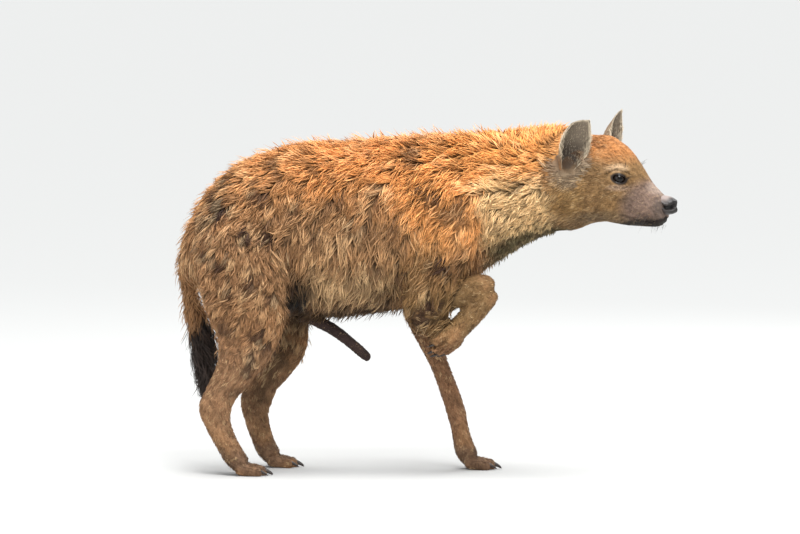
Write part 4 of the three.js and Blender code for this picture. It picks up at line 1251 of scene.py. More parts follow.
@dataclass
class EyeSet:
    """An eyeball with its lids."""

    hand: int
    half_length: float = 14.8
    half_height: float = 10.0
    middle: np.ndarray = field(init=False)
    out: np.ndarray = field(init=False)
    across: np.ndarray = field(init=False)

    def __post_init__(self) -> None:
        """Place and axes of the eye."""
        self.middle = head_point(EYE_AT[0], EYE_AT[1] * self.hand, EYE_AT[2])
        self.out = (HEAD_L * self.hand * math.cos(EYE_FORWARD) + HEAD_T * math.sin(EYE_FORWARD))
        self.across = np.cross(UP, self.out) * -self.hand
        self.middle = self.middle - self.out * EYE_SUNK

    def local(self, points: np.ndarray) -> tuple[np.ndarray, np.ndarray, np.ndarray]:
        """Coordinates of points in the eye: to the front corner, up, and out."""
        gap = points - self.middle
        return gap @ self.across, gap @ UP, gap @ self.out

    def opening(self, a: np.ndarray, b: np.ndarray) -> np.ndarray:
        """1 on the edge of the lids, less inside."""
        tilt = b + 0.12 * a
        return np.sqrt((a / self.half_length) ** 2 + (tilt / self.half_height) ** 2)

    def eye_marks_and_fold_shade(self, points: np.ndarray) -> tuple[np.ndarray, np.ndarray, np.ndarray]:
        """Dark parts round the eye: the bare rim and the tear mark, and painted shade in the folds over and
        under it.

        Args:
            points: places in millimetres.

        Returns:
            Shares from 0 to 1 of the bare rim, of the folds over and under it, and of the tear mark.
        """
        a, b, c = self.local(points)
        near = (c > -4) & (c < 32) & (np.hypot(a, b) < 48)
        away = self.opening(a, b)
        rim = near * (1 - ease(away, 1.22, 1.6))
        over = np.exp(-((away - 2.0) / 0.16) ** 2) * ease(b, 3, 9)
        under = 0.6 * np.exp(-((away - 2.15) / 0.16) ** 2) * ease(-b, 5, 11)
        tear = np.exp(-((a - 22) / 8.0) ** 2 - ((b - 0.35 * (a - 22) - 1.5) / 2.8) ** 2)
        return rim, near * (over + under), near * tear

    def ball(self, place: Place, finish: "EyeFinish") -> bpy.types.Object:
        """The eyeball, with the angle from the gaze stored for its finish.

        Args:
            place: where the part stands.
            finish: the finish.

        Returns:
            The object.
        """
        bpy.ops.object.select_all(action="DESELECT")
        bpy.ops.mesh.primitive_uv_sphere_add(segments=64, ring_count=48, radius=EYE_RADIUS / 1000,
                                             location=place.metres(self.middle[None])[0])
        ball = bpy.context.active_object
        ball.name = f"eye_{'right' if self.hand < 0 else 'left'}_ball"
        bpy.ops.object.transform_apply(location=True, rotation=True, scale=True)
        bpy.ops.object.shade_smooth()
        points = place.millimetres(read(ball.data, "co"))
        away = unit(points - self.middle) @ unit(self.out + 0.22 * HEAD_T)
        bulge = 1 + 0.05 * ease(away, 0.72, 1.0)
        points = self.middle + (points - self.middle) * bulge[:, None]
        put(ball.data, place.metres(points))
        give(ball.data, "gaze", "FLOAT", np.degrees(np.arccos(np.clip(away, -1, 1))))
        ball.data.materials.append(finish.material())
        return ball

    def lids(self, place: Place) -> tuple[np.ndarray, np.ndarray]:
        """Rim of the lids, a closed rope round the opening.

        Args:
            place: where the part stands.

        Returns:
            Points in frame metres, and triangles.
        """
        turn = np.linspace(0, 2 * math.pi, 73)[:-1]
        a = (self.half_length + 0.9) * np.sign(np.cos(turn)) * np.abs(np.cos(turn)) ** 0.9
        b = (self.half_height + 0.7) * np.sin(turn) - 0.12 * a
        reach = (EYE_RADIUS + 0.9) ** 2 - a * a - b * b
        c = np.sqrt(np.maximum(reach, 16))
        centre = (self.middle + np.outer(a, self.across) + np.outer(b, UP) + np.outer(c, self.out))
        thick = 1.5 + 0.7 * np.abs(np.sin(turn))
        outward = unit(centre - self.middle)
        along = unit(np.roll(centre, -1, 0) - np.roll(centre, 1, 0))
        side = unit(np.cross(along, outward))
        k = np.linspace(0, 2 * math.pi, 10, endpoint=False)
        rings = (centre[:, None] + thick[:, None, None] * (np.cos(k)[None, :, None] * side[:, None]
                 + 0.8 * np.sin(k)[None, :, None] * outward[:, None]))
        count = len(turn)
        grid = np.arange(count * 10).reshape(count, 10)
        right, below = np.roll(grid, -1, 1), np.roll(grid, -1, 0)
        both = np.roll(below, -1, 1)
        faces = np.concatenate([np.stack([grid, below, both], -1).reshape(-1, 3),
                                np.stack([grid, both, right], -1).reshape(-1, 3)])
        points = rings.reshape(-1, 3)
        return place.metres(points), outwards(points, faces, points.mean(0))


class Socket:
    """A shader socket or number that takes part in sums."""

    def __init__(self, shader: "Shader", value: object) -> None:
        """Keep the tree and the value."""
        self.shader = shader
        self.value = value

    def _do(self, kind: str, a: object, b: object) -> "Socket":
        """Add a Math node."""
        return self.shader.node("ShaderNodeMath", {"operation": kind}, {0: a, 1: b})

    def __add__(self, other: object) -> "Socket":
        """Sum."""
        return self._do("ADD", self, other)

    def __radd__(self, other: object) -> "Socket":
        """Sum, reflected."""
        return self._do("ADD", other, self)

    def __sub__(self, other: object) -> "Socket":
        """Difference."""
        return self._do("SUBTRACT", self, other)

    def __rsub__(self, other: object) -> "Socket":
        """Difference, reflected."""
        return self._do("SUBTRACT", other, self)

    def __mul__(self, other: object) -> "Socket":
        """Product."""
        return self._do("MULTIPLY", self, other)

    def __rmul__(self, other: object) -> "Socket":
        """Product, reflected."""
        return self._do("MULTIPLY", other, self)

    def __truediv__(self, other: object) -> "Socket":
        """Quotient."""
        return self._do("DIVIDE", self, other)

    def __pow__(self, other: object) -> "Socket":
        """Power."""
        return self._do("POWER", self, other)


class Shader:
    """A material under construction."""

    def __init__(self, name: str) -> None:
        """Start a material with its principled shader."""
        self.material = bpy.data.materials.new(name)
        self.material.use_nodes = True
        self.tree = self.material.node_tree
        self.surface = self.tree.nodes["Principled BSDF"]

    def node(self, kind: str, settings: dict, sockets: dict, output: object = 0) -> Socket:
        """Add a node.

        Args:
            kind: type of the node.
            settings: properties set first.
            sockets: values or links of its inputs.
            output: name or number of the output that is read.

        Returns:
            The output.
        """
        made = self.tree.nodes.new(kind)
        for key, value in settings.items():
            setattr(made, key, value)
        for key, value in sockets.items():
            self.link(value, made.inputs[key])
        return Socket(self, made.outputs[output])

    def link(self, value: object, target: bpy.types.NodeSocket) -> None:
        """Link or set a socket.

        Args:
            value: a socket, a number or a colour.
            target: the input.
        """
        if isinstance(value, Socket):
            value = value.value
        if isinstance(value, bpy.types.NodeSocket):
            self.tree.links.new(value, target)
        else:
            target.default_value = value

    def set(self, **sockets: object) -> None:
        """Set or link inputs of the principled shader, with spaces as underscores."""
        for key, value in sockets.items():
            self.link(value, self.surface.inputs[key.replace("_", " ").title().replace("Ior", "IOR")])

    def attribute(self, name: str, output: str) -> Socket:
        """Read a stored attribute."""
        return self.node("ShaderNodeAttribute", {"attribute_name": name}, {}, output)

    def scale(self, colour: Socket, factor: object) -> Socket:
        """Colour times a number."""
        return self.node("ShaderNodeVectorMath", {"operation": "SCALE"}, {0: colour, 3: factor})

    def mix(self, factor: object, a: object, b: object) -> Socket:
        """Mix of two colours."""
        return self.node("ShaderNodeMix", {"data_type": "RGBA"}, {0: factor, 6: a, 7: b}, 2)

    def noise(self, vector: Socket, scale: float, detail: float = 2.0) -> Socket:
        """Noise from 0 to 1."""
        return self.node("ShaderNodeTexNoise", {}, {"Vector": vector, "Scale": scale, "Detail": detail})

    def ramp(self, value: Socket, low: float, high: float) -> Socket:
        """Smooth step of a value."""
        return self.node("ShaderNodeMapRange", {"interpolation_type": "SMOOTHSTEP"},
                         {0: value, 1: low, 2: high})

    def bump(self, height: Socket, strength: float, distance: float) -> Socket:
        """Normal raised by a height."""
        return self.node("ShaderNodeBump", {}, {"Strength": strength, "Distance": distance,
                                                "Height": height})


@dataclass(frozen=True)
class CoatFinish:
    """Hair of a coat piece: darker at the root, partly the darker undercoat and partly painted shade deep in
    the coat, lighter at the tip, with fine strands.
    """

    name: str
    root: float = 0.36
    tip: float = 1.34
    spread: float = 0.4
    roughness: float = 0.6

    def material(self) -> bpy.types.Material:
        """The finished material."""
        shader = Shader(self.name)
        fibre = shader.attribute("fibre", "Vector")
        along = shader.node("ShaderNodeSeparateXYZ", {}, {0: fibre}, 1)
        strand = shader.node("ShaderNodeSeparateXYZ", {}, {0: fibre}, 2)
        streak = shader.node("ShaderNodeVectorMath", {"operation": "MULTIPLY"},
                             {0: fibre, 1: (2.6, 0.7, 40.0)})
        fine = shader.noise(streak, 1.0, 3.0)
        # darker roots: partly the undercoat's own colour, partly painted shade inside the coat
        light = self.root + (self.tip - self.root) * shader.ramp(along, 0.0, 0.7)
        tone = light * (1 - self.spread / 2 + self.spread * strand) * (0.72 + 0.56 * fine)
        base = shader.scale(shader.attribute("coat_colour", "Color"), tone)
        shader.set(base_color=base, roughness=self.roughness,
                   normal=shader.bump(fine, 0.5, 0.0008), specular_ior_level=0.28)
        return shader.material


@dataclass(frozen=True)
class SkinFinish:
    """Skin with its short hair, under the tufts."""

    name: str = "skin_coat"
    roughness: float = 0.7

    def material(self) -> bpy.types.Material:
        """The finished material."""
        shader = Shader(self.name)
        fibre = shader.attribute("fibre", "Vector")
        fine = shader.noise(fibre, 1.0, 3.0)
        shade = shader.attribute("shade", "Fac")
        base = shader.scale(shader.attribute("coat_colour", "Color"), shade * (0.66 + 0.62 * fine))
        shader.set(base_color=base, roughness=self.roughness,
                   normal=shader.bump(fine, 0.7, 0.0012), specular_ior_level=0.25)
        return shader.material


@dataclass(frozen=True)
class EyeFinish:
    """A wet, dark brown eye."""

    name: str = "eye_wet"
    pupil: tuple[int, int, int] = (6, 5, 5)
    iris: tuple[int, int, int] = (24, 15, 10)
    white: tuple[int, int, int] = (40, 31, 27)

    def material(self) -> bpy.types.Material:
        """The finished material."""
        shader = Shader(self.name)
        gaze = shader.attribute("gaze", "Fac")
        iris = shader.mix(shader.ramp(gaze, 15, 18), (*linear(self.pupil), 1), (*linear(self.iris), 1))
        rim = shader.mix(shader.ramp(gaze, 33, 40), iris, (*linear(self.pupil), 1))
        base = shader.mix(shader.ramp(gaze, 42, 46), rim, (*linear(self.white), 1))
        shader.set(base_color=base, roughness=0.05, specular_ior_level=0.3)
        return shader.material


@dataclass(frozen=True)
class BareFinish:
    """Bare skin or horn with fine grain."""

    name: str
    colour: tuple[int, int, int]
    roughness: float
    grain: float
    height: float
    coat: float = 0.0
    # colour of the nose's paler top, partly its own skin and partly painted light from the sky
    upper: tuple[int, int, int] = (150, 132, 124)  # where a pale attribute is stored

    def material(self) -> bpy.types.Material:
        """The finished material."""
        shader = Shader(self.name)
        spot = shader.node("ShaderNodeTexCoord", {}, {}, "Object")
        # deep: painted shade in the nostrils, and a darker front of the nose, partly its own colour and
        # partly painted shade
        shade_and_dark_front = 1 - 0.93 * shader.attribute("deep", "Fac")
        cells = shader.node("ShaderNodeTexVoronoi", {}, {"Vector": spot, "Scale": self.grain}, "Distance")
        soft = shader.noise(spot, self.grain / 4)
        dark = (*linear(self.colour), 1)
        pale = (*np.minimum(linear(self.colour) * 1.8, 1), 1)
        leather = shader.mix(soft * 0.8, dark, pale)
        # pale: the nose's paler top, partly its own skin and partly painted light from the sky
        top = shader.mix(0.85 * shader.attribute("pale", "Fac"), leather, (*linear(self.upper), 1))
        shader.set(base_color=shader.scale(top, shade_and_dark_front),
                   roughness=self.roughness + 0.2 * (soft - 0.5),
                   normal=shader.bump(cells, 0.5, self.height), coat_weight=self.coat)
        return shader.material


@dataclass(frozen=True)
class Lie:
    """How the trunk's coat lies at one place: numbers at five heights from belly to ridge."""

    place: float
    tilt: tuple[float, float, float, float, float]  # degrees below straight back
    length: tuple[float, float, float, float, float]


HEAD_LENGTH = (0, 40, 90, 140, 175, 245), (27, 21, 14, 9, 5.5, 4)  # places along the head, values
HEAD_WIDTH = (0, 60, 140, 245), (2.5, 2.1, 1.4, 1.05)
HEAD_COVER = (0, 60, 140, 245), (2.3, 1.6, 1.0, 0.85)
HEAD_HEIGHT = (0, 60, 140, 180, 245), (4.5, 3.0, 1.8, 1.1, 0.9)
HEIGHTS = (-1.0, -0.5, 0.0, 0.55, 1.0)
TRUNK_LIES = (
    Lie(0, (80, 86, 84, 78, 60), (34, 42, 44, 44, 40)),
    Lie(4, (70, 84, 78, 62, 20), (40, 54, 52, 48, 46)),
    Lie(8, (62, 88, 80, 58, 12), (46, 72, 62, 54, 50)),
    Lie(10.6, (60, 80, 72, 50, -4), (34, 50, 52, 52, 46)),
    Lie(12.2, (36, 36, 18, -8, -112), (18, 34, 54, 52, 42)),
    Lie(15, (30, 28, 14, -8, -98), (12, 20, 30, 34, 36)),
)


@dataclass(frozen=True)
class Growth:
    """How a limb's coat grows: places, and at each a tuft's length and width and the cover."""

    places: tuple[float, ...]
    length: tuple[float, ...]
    width: tuple[float, ...]
    cover: tuple[float, ...]  # how many tufts lie over each other
    back: float = 0.2  # how far the hair turns to the back from straight down the limb


HIND_GROWTH = Growth((0, 2, 4, 5.5, 7, 9, 11, 13), (42, 42, 38, 30, 18, 11, 9, 7),
                     (2.9, 2.9, 2.8, 2.5, 2.1, 1.7, 1.6, 1.5),
                     (5.0, 5.0, 4.6, 3.2, 1.3, 0.95, 0.8, 0.7), 0.35)
GROWTHS = {
    Zone.FORE_RIGHT_UPPER: Growth((0, 2, 4, 7), (44, 46, 48, 44), (2.9, 2.9, 2.8, 2.6),
                                  (5.2, 5.2, 5.2, 4.8), 0.3),
    Zone.FORE_RIGHT_LOWER: Growth((0, 2, 4, 6), (24, 15, 10, 8), (2.2, 1.9, 1.6, 1.5),
                                  (1.7, 1.1, 0.85, 0.8), 0.0),
    Zone.FORE_RIGHT_FOOT: Growth((0, 3, 5), (9, 8, 6), (1.5, 1.4, 1.3), (0.85, 0.8, 0.7), 0.0),
    Zone.FORE_LEFT: Growth((0, 2, 4, 5, 7, 10, 12), (46, 46, 40, 24, 12, 9, 7),
                           (2.9, 2.9, 2.8, 2.3, 1.8, 1.6, 1.5),
                           (5.0, 5.0, 4.0, 1.7, 1.0, 0.8, 0.7), 0.3),
    Zone.HIND_RIGHT: HIND_GROWTH,
    Zone.HIND_LEFT: HIND_GROWTH,
    Zone.TAIL: Growth((0, 2, 4, 6, 9), (32, 34, 60, 84, 60), (2.4, 2.4, 2.4, 2.4, 2.2),
                      (4.0, 4.0, 7.0, 8.0, 5.0), 0.0),
}


ROOT_ROWS = ("point", "normal", "lie", "length", "height", "width", "chart", "colour")


@dataclass
class Roots:
    """Where tufts grow and how, one row for each."""

    point: np.ndarray
    normal: np.ndarray
    lie: np.ndarray
    length: np.ndarray
    height: np.ndarray
    width: np.ndarray
    chart: np.ndarray
    colour: np.ndarray

    def pick(self, chosen: np.ndarray) -> "Roots":
        """Some of the roots."""
        return Roots(*(getattr(self, key)[chosen] for key in ROOT_ROWS))


@dataclass(frozen=True)
class Style:
    """How the tufts of a coat piece are made."""

    finish: CoatFinish
    rings: int  # rings of points on each tuft, without its tip
    lock: int  # tufts that run together
    gather: float  # how far their tips run together, from 0 to 1
    curl: float = 0.06  # side swing as a share of the length
    stray: float = 0.0  # share of tufts that stand out of the coat
    mottle: float = 0.0  # how far whole locks turn paler or darker, from 0 to 1

    @property
    def steps(self) -> np.ndarray:
        """Shares of the way from root to tip."""
        return np.linspace(0, 1, self.rings + 1)

    @classmethod
    def of_piece(cls, name: str) -> "Style":
        """Style of a coat piece on the body, by its name."""
        if name.endswith(("_head", "_sheath")):
            return cls(FACE_HAIR, 2, 6, 0.35, 0.06, 0.01, 0.5)
        if name.endswith("_low"):
            return cls(SHORT_HAIR, 2, 6, 0.35, 0.06, 0.01, 0.8)
        return cls(LONG_HAIR, 3, 24, 0.6, 0.1, 0.08, 0.0 if name == "coat_tail" else 0.6)


LONG_HAIR = CoatFinish("long_hair")
SHORT_HAIR = CoatFinish("short_hair", root=0.5, tip=1.28, spread=0.5)
FACE_HAIR = CoatFinish("face_hair", root=0.72, tip=1.16, spread=0.36)
EAR_STYLE = Style(FACE_HAIR, 2, 4, 0.2)


@dataclass
class Tufts:
    """Makes the solid tufts of one coat piece."""

    place: Place
    tree: BVHTree
    seed: int = 5

    def follow(self, points: np.ndarray) -> tuple[np.ndarray, np.ndarray]:
        """Nearest places on the skin, with their normals.

        Args:
            points: places in own millimetres.

        Returns:
            Places and normals.
        """
        spots, normals = np.empty_like(points), np.empty_like(points)
        nearest = self.tree.find_nearest
        for k, point in enumerate(points.tolist()):
            spot, normal, _, _ = nearest(point)
            spots[k] = spot
            normals[k] = normal
        return spots, normals

    @staticmethod
    def clumps(roots: Roots, lock: int, draw: np.random.Generator) -> tuple[np.ndarray, np.ndarray]:
        """Gather tufts into locks.

        Args:
            roots: the tufts' roots.
            lock: tufts in each lock.
            draw: source of chance.

        Returns:
            For each tuft the number of its lock's leading tuft, and a shade of the lock.
        """
        count = len(roots.point)
        leaders = draw.permutation(count)[:max(count // lock, 1)]
        tree = KDTree(len(leaders))
        for k, leader in enumerate(leaders):
            tree.insert(roots.point[leader], k)
        tree.balance()
        found = np.array([tree.find(point)[1] for point in roots.point.tolist()])
        return leaders[found], draw.uniform(-1, 1, len(leaders))[found]

    def lay(self, roots: Roots, leader: np.ndarray, style: Style,
            draw: np.random.Generator) -> tuple[list[np.ndarray], list[np.ndarray]]:
        """Lead the tufts along the skin from root to tip.

        Args:
            roots: where and how they grow.
            leader: number of the leading tuft of each one's lock.
            style: how they are made.
            draw: source of chance.

        Returns:
            For each step from root to tip the tufts' middles, and the directions out of the skin.
        """
        count = len(roots.point)
        lie = unit(roots.lie * 0.45 + roots.lie[leader] * 0.55)
        length = roots.length * draw.uniform(0.7, 1.12, count)
        height = roots.height * draw.uniform(0.35, 1.08, count) ** 0.8
        stand_out = height * 1.4 + 9 * (style.rings > 2)
        height = np.where(draw.uniform(size=count) < style.stray, stand_out, height)
        height = np.minimum(height, length * 0.9)
        run = np.sqrt(length ** 2 - height ** 2)
        meet = (roots.point[leader] - roots.point) * style.gather
        far = np.linalg.norm(meet, axis=1, keepdims=True)
        meet *= np.minimum(1, (length[:, None] * 0.4) / np.maximum(far, 1e-6))
        swing = style.curl * length * draw.choice([-1, 1], count) * draw.uniform(0.4, 1.3, count)
        steps = style.steps
        spots, ups = [roots.point], [roots.normal]
        for before, now in zip(steps[:-1], steps[1:]):
            ahead = flat(lie, ups[-1])
            move = ahead * (run * (now - before))[:, None] + meet * (now ** 1.5 - before ** 1.5)
            side = np.cross(ups[-1], ahead)
            move += side * (swing * (math.sin(now * 4.4) - math.sin(before * 4.4)))[:, None]
            spot, up = self.follow(spots[-1] + move)
            away = np.linalg.norm(spot - spots[-1] - move, axis=1)
            lost = away > 0.45 * length + 4
            spot[lost] = (spots[-1] + move)[lost]
            up[lost] = ups[-1][lost]
            spots.append(spot)
            ups.append(unit(up * 0.6 + ups[-1] * 0.4))
        lift = [-ROOT_SUNK + (height + ROOT_SUNK) * s ** 0.72 for s in steps]
        return [spot + up * rise[:, None] for spot, up, rise in zip(spots, ups, lift)], ups

    @staticmethod
    def solid(centres: list[np.ndarray], ups: list[np.ndarray], width: np.ndarray,
              steps: np.ndarray) -> tuple[np.ndarray, np.ndarray]:
        """Three-sided tapering solids round the tufts' middles.

        Args:
            centres: for each step the tufts' middles.
            ups: for each step the directions out of the skin.
            width: greatest width of each tuft.
            steps: shares of the way from root to tip.

        Returns:
            Points of the tufts in turn, and the triangles of one of them.
        """
        rings = len(steps) - 1
        shape = np.interp(steps, (0, 0.3, 0.7, 1), (0.62, 1.0, 0.72, 0))
        points = []
        for k in range(rings):
            ahead = unit(centres[k + 1] - centres[k])
            side = unit(np.cross(ahead, ups[k]))
            over = np.cross(side, ahead)
            half = (width * shape[k] / 2)[:, None]
            points += [centres[k] + side * half, centres[k] + over * half * 0.62,
                       centres[k] - side * half]
        points.append(centres[-1])
        size = len(points)
        solid = np.stack(points, 1).reshape(-1, 3)
        faces = [(0, 2, 1)]
        for k in range(rings - 1):
            for j in range(3):
                a, b = 3 * k + j, 3 * k + (j + 1) % 3
                faces += [(a, b, b + 3), (a, b + 3, a + 3)]
        last = 3 * (rings - 1)
        faces += [(last, last + 1, size - 1), (last + 1, last + 2, size - 1),
                  (last + 2, last, size - 1)]
        return solid, outwards(solid[:size], np.array(faces), solid[:size].mean(0))

    def build(self, name: str, roots: Roots, style: Style) -> bpy.types.Object:
        """A coat piece.

        Args:
            name: name of the object.
            roots: where and how its tufts grow.
            style: how they are made.

        Returns:
            The object.
        """
        draw = np.random.default_rng(self.seed + len(roots.point))
        count = len(roots.point)
        leader, lock_shade = self.clumps(roots, style.lock, draw)
        centres, ups = self.lay(roots, leader, style, draw)
        width = roots.width * draw.uniform(0.75, 1.25, count)
        solid, faces = self.solid(centres, ups, width, style.steps)
        size = 3 * style.rings + 1
        every = (np.arange(count)[:, None, None] * size + faces).reshape(-1, 3)
        piece = as_object(name, self.place.metres(solid), every)
        mesh = piece.data
        across = np.array([1.0, 0.0, -1.0] * style.rings + [0.0])
        reach = np.append(np.repeat(style.steps[:-1], 3), 1.0)
        shade = np.clip(0.5 + 0.28 * lock_shade + draw.uniform(-0.25, 0.25, count), 0, 1)
        fibre = np.stack(np.broadcast_arrays(across, reach, shade[:, None]), -1)
        give(mesh, "fibre", "FLOAT_VECTOR", fibre.reshape(-1, 3))
        pale = style.mottle * np.clip(lock_shade - 0.25, 0, 1)[:, None]
        dark = style.mottle * np.clip(-lock_shade - 0.25, 0, 1)[:, None]
        colour = (roots.colour * (1 - 0.6 * pale - 0.8 * dark) + linear(PALE_LOCK) * 0.6 * pale
                  + linear(DARK_LOCK) * 0.8 * dark)
        give(mesh, "coat_colour", "FLOAT_COLOR", np.repeat(opaque(colour), size, 0))
        offset = np.stack([across * 0.0014, (reach - 0.5) * 0.003], -1)
        chart = (0.004 + 0.992 * roots.chart[:, None] + offset[None]).reshape(-1, 2)
        layer = mesh.uv_layers.new(name="OFBake")
        layer.data.foreach_set("uv", chart[every.ravel()].astype(np.float32).ravel())
        mesh.materials.append(style.finish.material())
        LOG.info("%s: %d tufts, %d triangles", name, count, len(every))
        return piece


def scatter(draw: np.random.Generator, area: np.ndarray,
            crowd: np.ndarray) -> tuple[np.ndarray, np.ndarray]:
    """Places spread by chance over triangles.

    Args:
        draw: source of chance.
        area: area of each triangle.
        crowd: places wanted in each unit of its area.

    Returns:
        For each place the number of its triangle, and the shares of the triangle's corners.
    """
    weight = area * crowd
    total = int(weight.sum())
    picked = np.searchsorted(np.cumsum(weight), draw.uniform(0, weight.sum(), total))
    picked = np.minimum(picked, len(area) - 1)
    a, b = np.sqrt(draw.uniform(size=total)), draw.uniform(size=total)
    return picked, np.stack([1 - a, a * (1 - b), a * b], -1)[..., None]


@dataclass
class Coat:
    """Spreads roots over the skin and tells how the hair lies there."""

    place: Place
    markings: Markings
    density: float = 1.0
    seed: int = 11

    def zones(self, points: np.ndarray) -> np.ndarray:
        """Zone of each point: the limb whose outline it lies nearest to.

        Args:
            points: places in own millimetres.

        Returns:
            Numbers of the zones.
        """
        best = np.full(len(points), 1e9)
        zone = np.zeros(len(points), int)
        for k, item in enumerate(ZONES):
            _, _, ratio = item.value.nearest(points)
            ratio = np.abs(ratio - 0.85) if item is Zone.TRUNK else np.abs(ratio - 0.95)
            better = ratio < best
            best[better] = ratio[better]
            zone[better] = k
        own = in_head(points)
        zone[own[:, 0] > 8] = ZONES.index(Zone.HEAD)
        return zone

    def fields(self, zone: Zone, points: np.ndarray, normals: np.ndarray) -> dict[str, np.ndarray]:
        """How the coat grows at points of a zone.

        Args:
            zone: the zone.
            points: places in millimetres.
            normals: directions out of the skin.

        Returns:
            Arrays of lie, length, height, width, cover, place and angle.
        """
        track = zone.value
        place, angle, _ = track.nearest(points)
        _, along, _, _ = track.axes(track.at(place))
        depth = track.depth(place, angle)
        high = np.sin(angle)
        if zone is Zone.TRUNK:
            knots = [lie.place for lie in TRUNK_LIES]
            tilts = np.stack([np.interp(place, knots, [lie.tilt[k] for lie in TRUNK_LIES])
                              for k in range(5)], -1)
            lengths = np.stack([np.interp(place, knots, [lie.length[k] for lie in TRUNK_LIES])
                                for k in range(5)], -1)
            span = np.clip(np.searchsorted(HEIGHTS, high) - 1, 0, 3)
            low, top = np.array(HEIGHTS)[span], np.array(HEIGHTS)[span + 1]
            share = np.clip((high - low) / (top - low), 0, 1)
            rows = np.arange(len(points))
            tilt = np.radians(tilts[rows, span] * (1 - share) + tilts[rows, span + 1] * share)
            length = lengths[rows, span] * (1 - share) + lengths[rows, span + 1] * share
            lie = -along * np.cos(tilt)[:, None] - UP * np.sin(tilt)[:, None]
            width = 3.1 - 0.5 * ease(place, 11.0, 14.5)
            cover = np.full(len(points), TRUNK_COVER)
            height = np.maximum(depth, 4)
        elif zone is Zone.HEAD:
            own = in_head(points)
            high_up = ease(own[:, 2], 640, 720)
            lie = -HEAD_T - UP * (0.42 * (1 - high_up) * (1 - ease(own[:, 0], 150, 220)))[:, None]
            length, width, cover, height = (np.interp(own[:, 0], *knots) for knots in (
                HEAD_LENGTH, HEAD_WIDTH, HEAD_COVER, HEAD_HEIGHT))
        elif zone is Zone.SHEATH:
            lie, length, width = along, np.full(len(points), 6.0), np.full(len(points), 1.4)
            cover, height = np.full(len(points), 0.35), np.full(len(points), 1.0)
        else:
            growth = GROWTHS[zone]
            length, width, cover = (np.interp(place, growth.places, values) for values in
                                    (growth.length, growth.width, growth.cover))
            lie = along - np.array([1.0, 0, 0]) * growth.back * ease(length, 12, 40)[:, None]
            height = np.maximum(depth, 2.2 + 0.05 * length)
            if zone is Zone.TAIL:
                height = height * 1.3 + 8 * ease(place, 1, 2.5)
        turn = (0.34 * sway(points, 120, 21) + 0.22 * sway(points, 34, 22)) * ease(length, 4, 40)
        lie = flat(lie, normals)
        lie = lie * np.cos(turn)[:, None] + np.cross(normals, lie) * np.sin(turn)[:, None]
        return {"lie": lie, "length": length, "height": height, "width": width, "cover": cover,
                "place": place, "angle": angle}

    def spread(self, skin: bpy.types.Object) -> tuple[dict[str, Roots], BVHTree]:
        """Roots of every coat piece on the skin.

        Args:
            skin: the finished skin without ears.

        Returns:
            Roots by piece, and a tree of the skin in millimetres.
        """
        mesh = skin.data
        points = self.place.millimetres(read(mesh, "co"))
        normals = read(mesh, "normal")
        faces = triangles_of(mesh)
        tree = BVHTree.FromPolygons(points.tolist(), faces.tolist())
        zone = self.zones(points)
        shade = np.ones(len(points))
        fibre = np.zeros((len(points), 3))
        crowd = np.zeros(len(points))
        for k, item in enumerate(ZONES):
            chosen = np.nonzero(zone == k)[0]
            if not len(chosen):
                continue
            grown = self.fields(item, points[chosen], normals[chosen])
            crowd[chosen] = grown["cover"] / (grown["length"] * grown["width"] * 0.62)
            shade[chosen] = np.interp(grown["length"], (6, 16, 40), (1.0, 0.92, 0.62))
            around = grown["angle"] * 60
            fibre[chosen] = np.stack([around / 1.4, grown["place"] * 50 / 8, 0 * around], -1)
        give(mesh, "shade", "FLOAT", shade)
        give(mesh, "fibre", "FLOAT_VECTOR", fibre)
        give(mesh, "coat_colour", "FLOAT_COLOR", opaque(self.markings.colours(points, zone)))
        crowd[self.bare(points)] = 0
        corner = points[faces]
        cross = np.cross(corner[:, 1] - corner[:, 0], corner[:, 2] - corner[:, 0])
        area = np.linalg.norm(cross, axis=1) / 2
        draw = np.random.default_rng(self.seed)
        picked, share = scatter(draw, area, crowd[faces].mean(1) * self.density)
        spots = (corner[picked] * share).sum(1)
        ups = unit((normals[faces[picked]] * share).sum(1))
        kind = zone[faces[picked, 0]]
        pieces: dict[str, list[Roots]] = {}
        for k, item in enumerate(ZONES):
            chosen = np.nonzero(kind == k)[0]
            if not len(chosen):
                continue
            grown = self.fields(item, spots[chosen], ups[chosen])
            turn = grown["angle"] / (2 * math.pi) % 1.0
            chart = np.stack([turn, grown["place"] / item.value.end], -1)
            roots = Roots(spots[chosen], ups[chosen], grown["lie"], grown["length"],
                          grown["height"], grown["width"], chart,
                          self.markings.colours(spots[chosen], kind[chosen]))
            for name, inside in self.groups(item, grown).items():
                if inside.any():
                    pieces.setdefault(name, []).append(roots.pick(inside))
        LOG.info("coat: %d roots on the body", len(spots))
        return {name: self.join(items) for name, items in pieces.items()}, tree

    @staticmethod
    def bare(points: np.ndarray) -> np.ndarray:
        """Skin that carries no tufts: lids, lips, nose, soles and the ears' hollows.

        Args:
            points: places in own millimetres.

        Returns:
            True where it is bare.
        """
        own = in_head(points)
        eye = np.max([EyeSet(hand).eye_marks_and_fold_shade(points)[0] for hand in (-1, 1)], axis=0) > 0.2
        nose = own[:, 0] > 236
        lips = mouth_distance(points) < 2.2
        cups = np.min([ear.hollow(points)[0] for ear in EARS.values()], axis=0) < 1.12
        return eye | nose | lips | cups | (points[:, 2] < 4) | (toe_grooves(points) > 0.45)

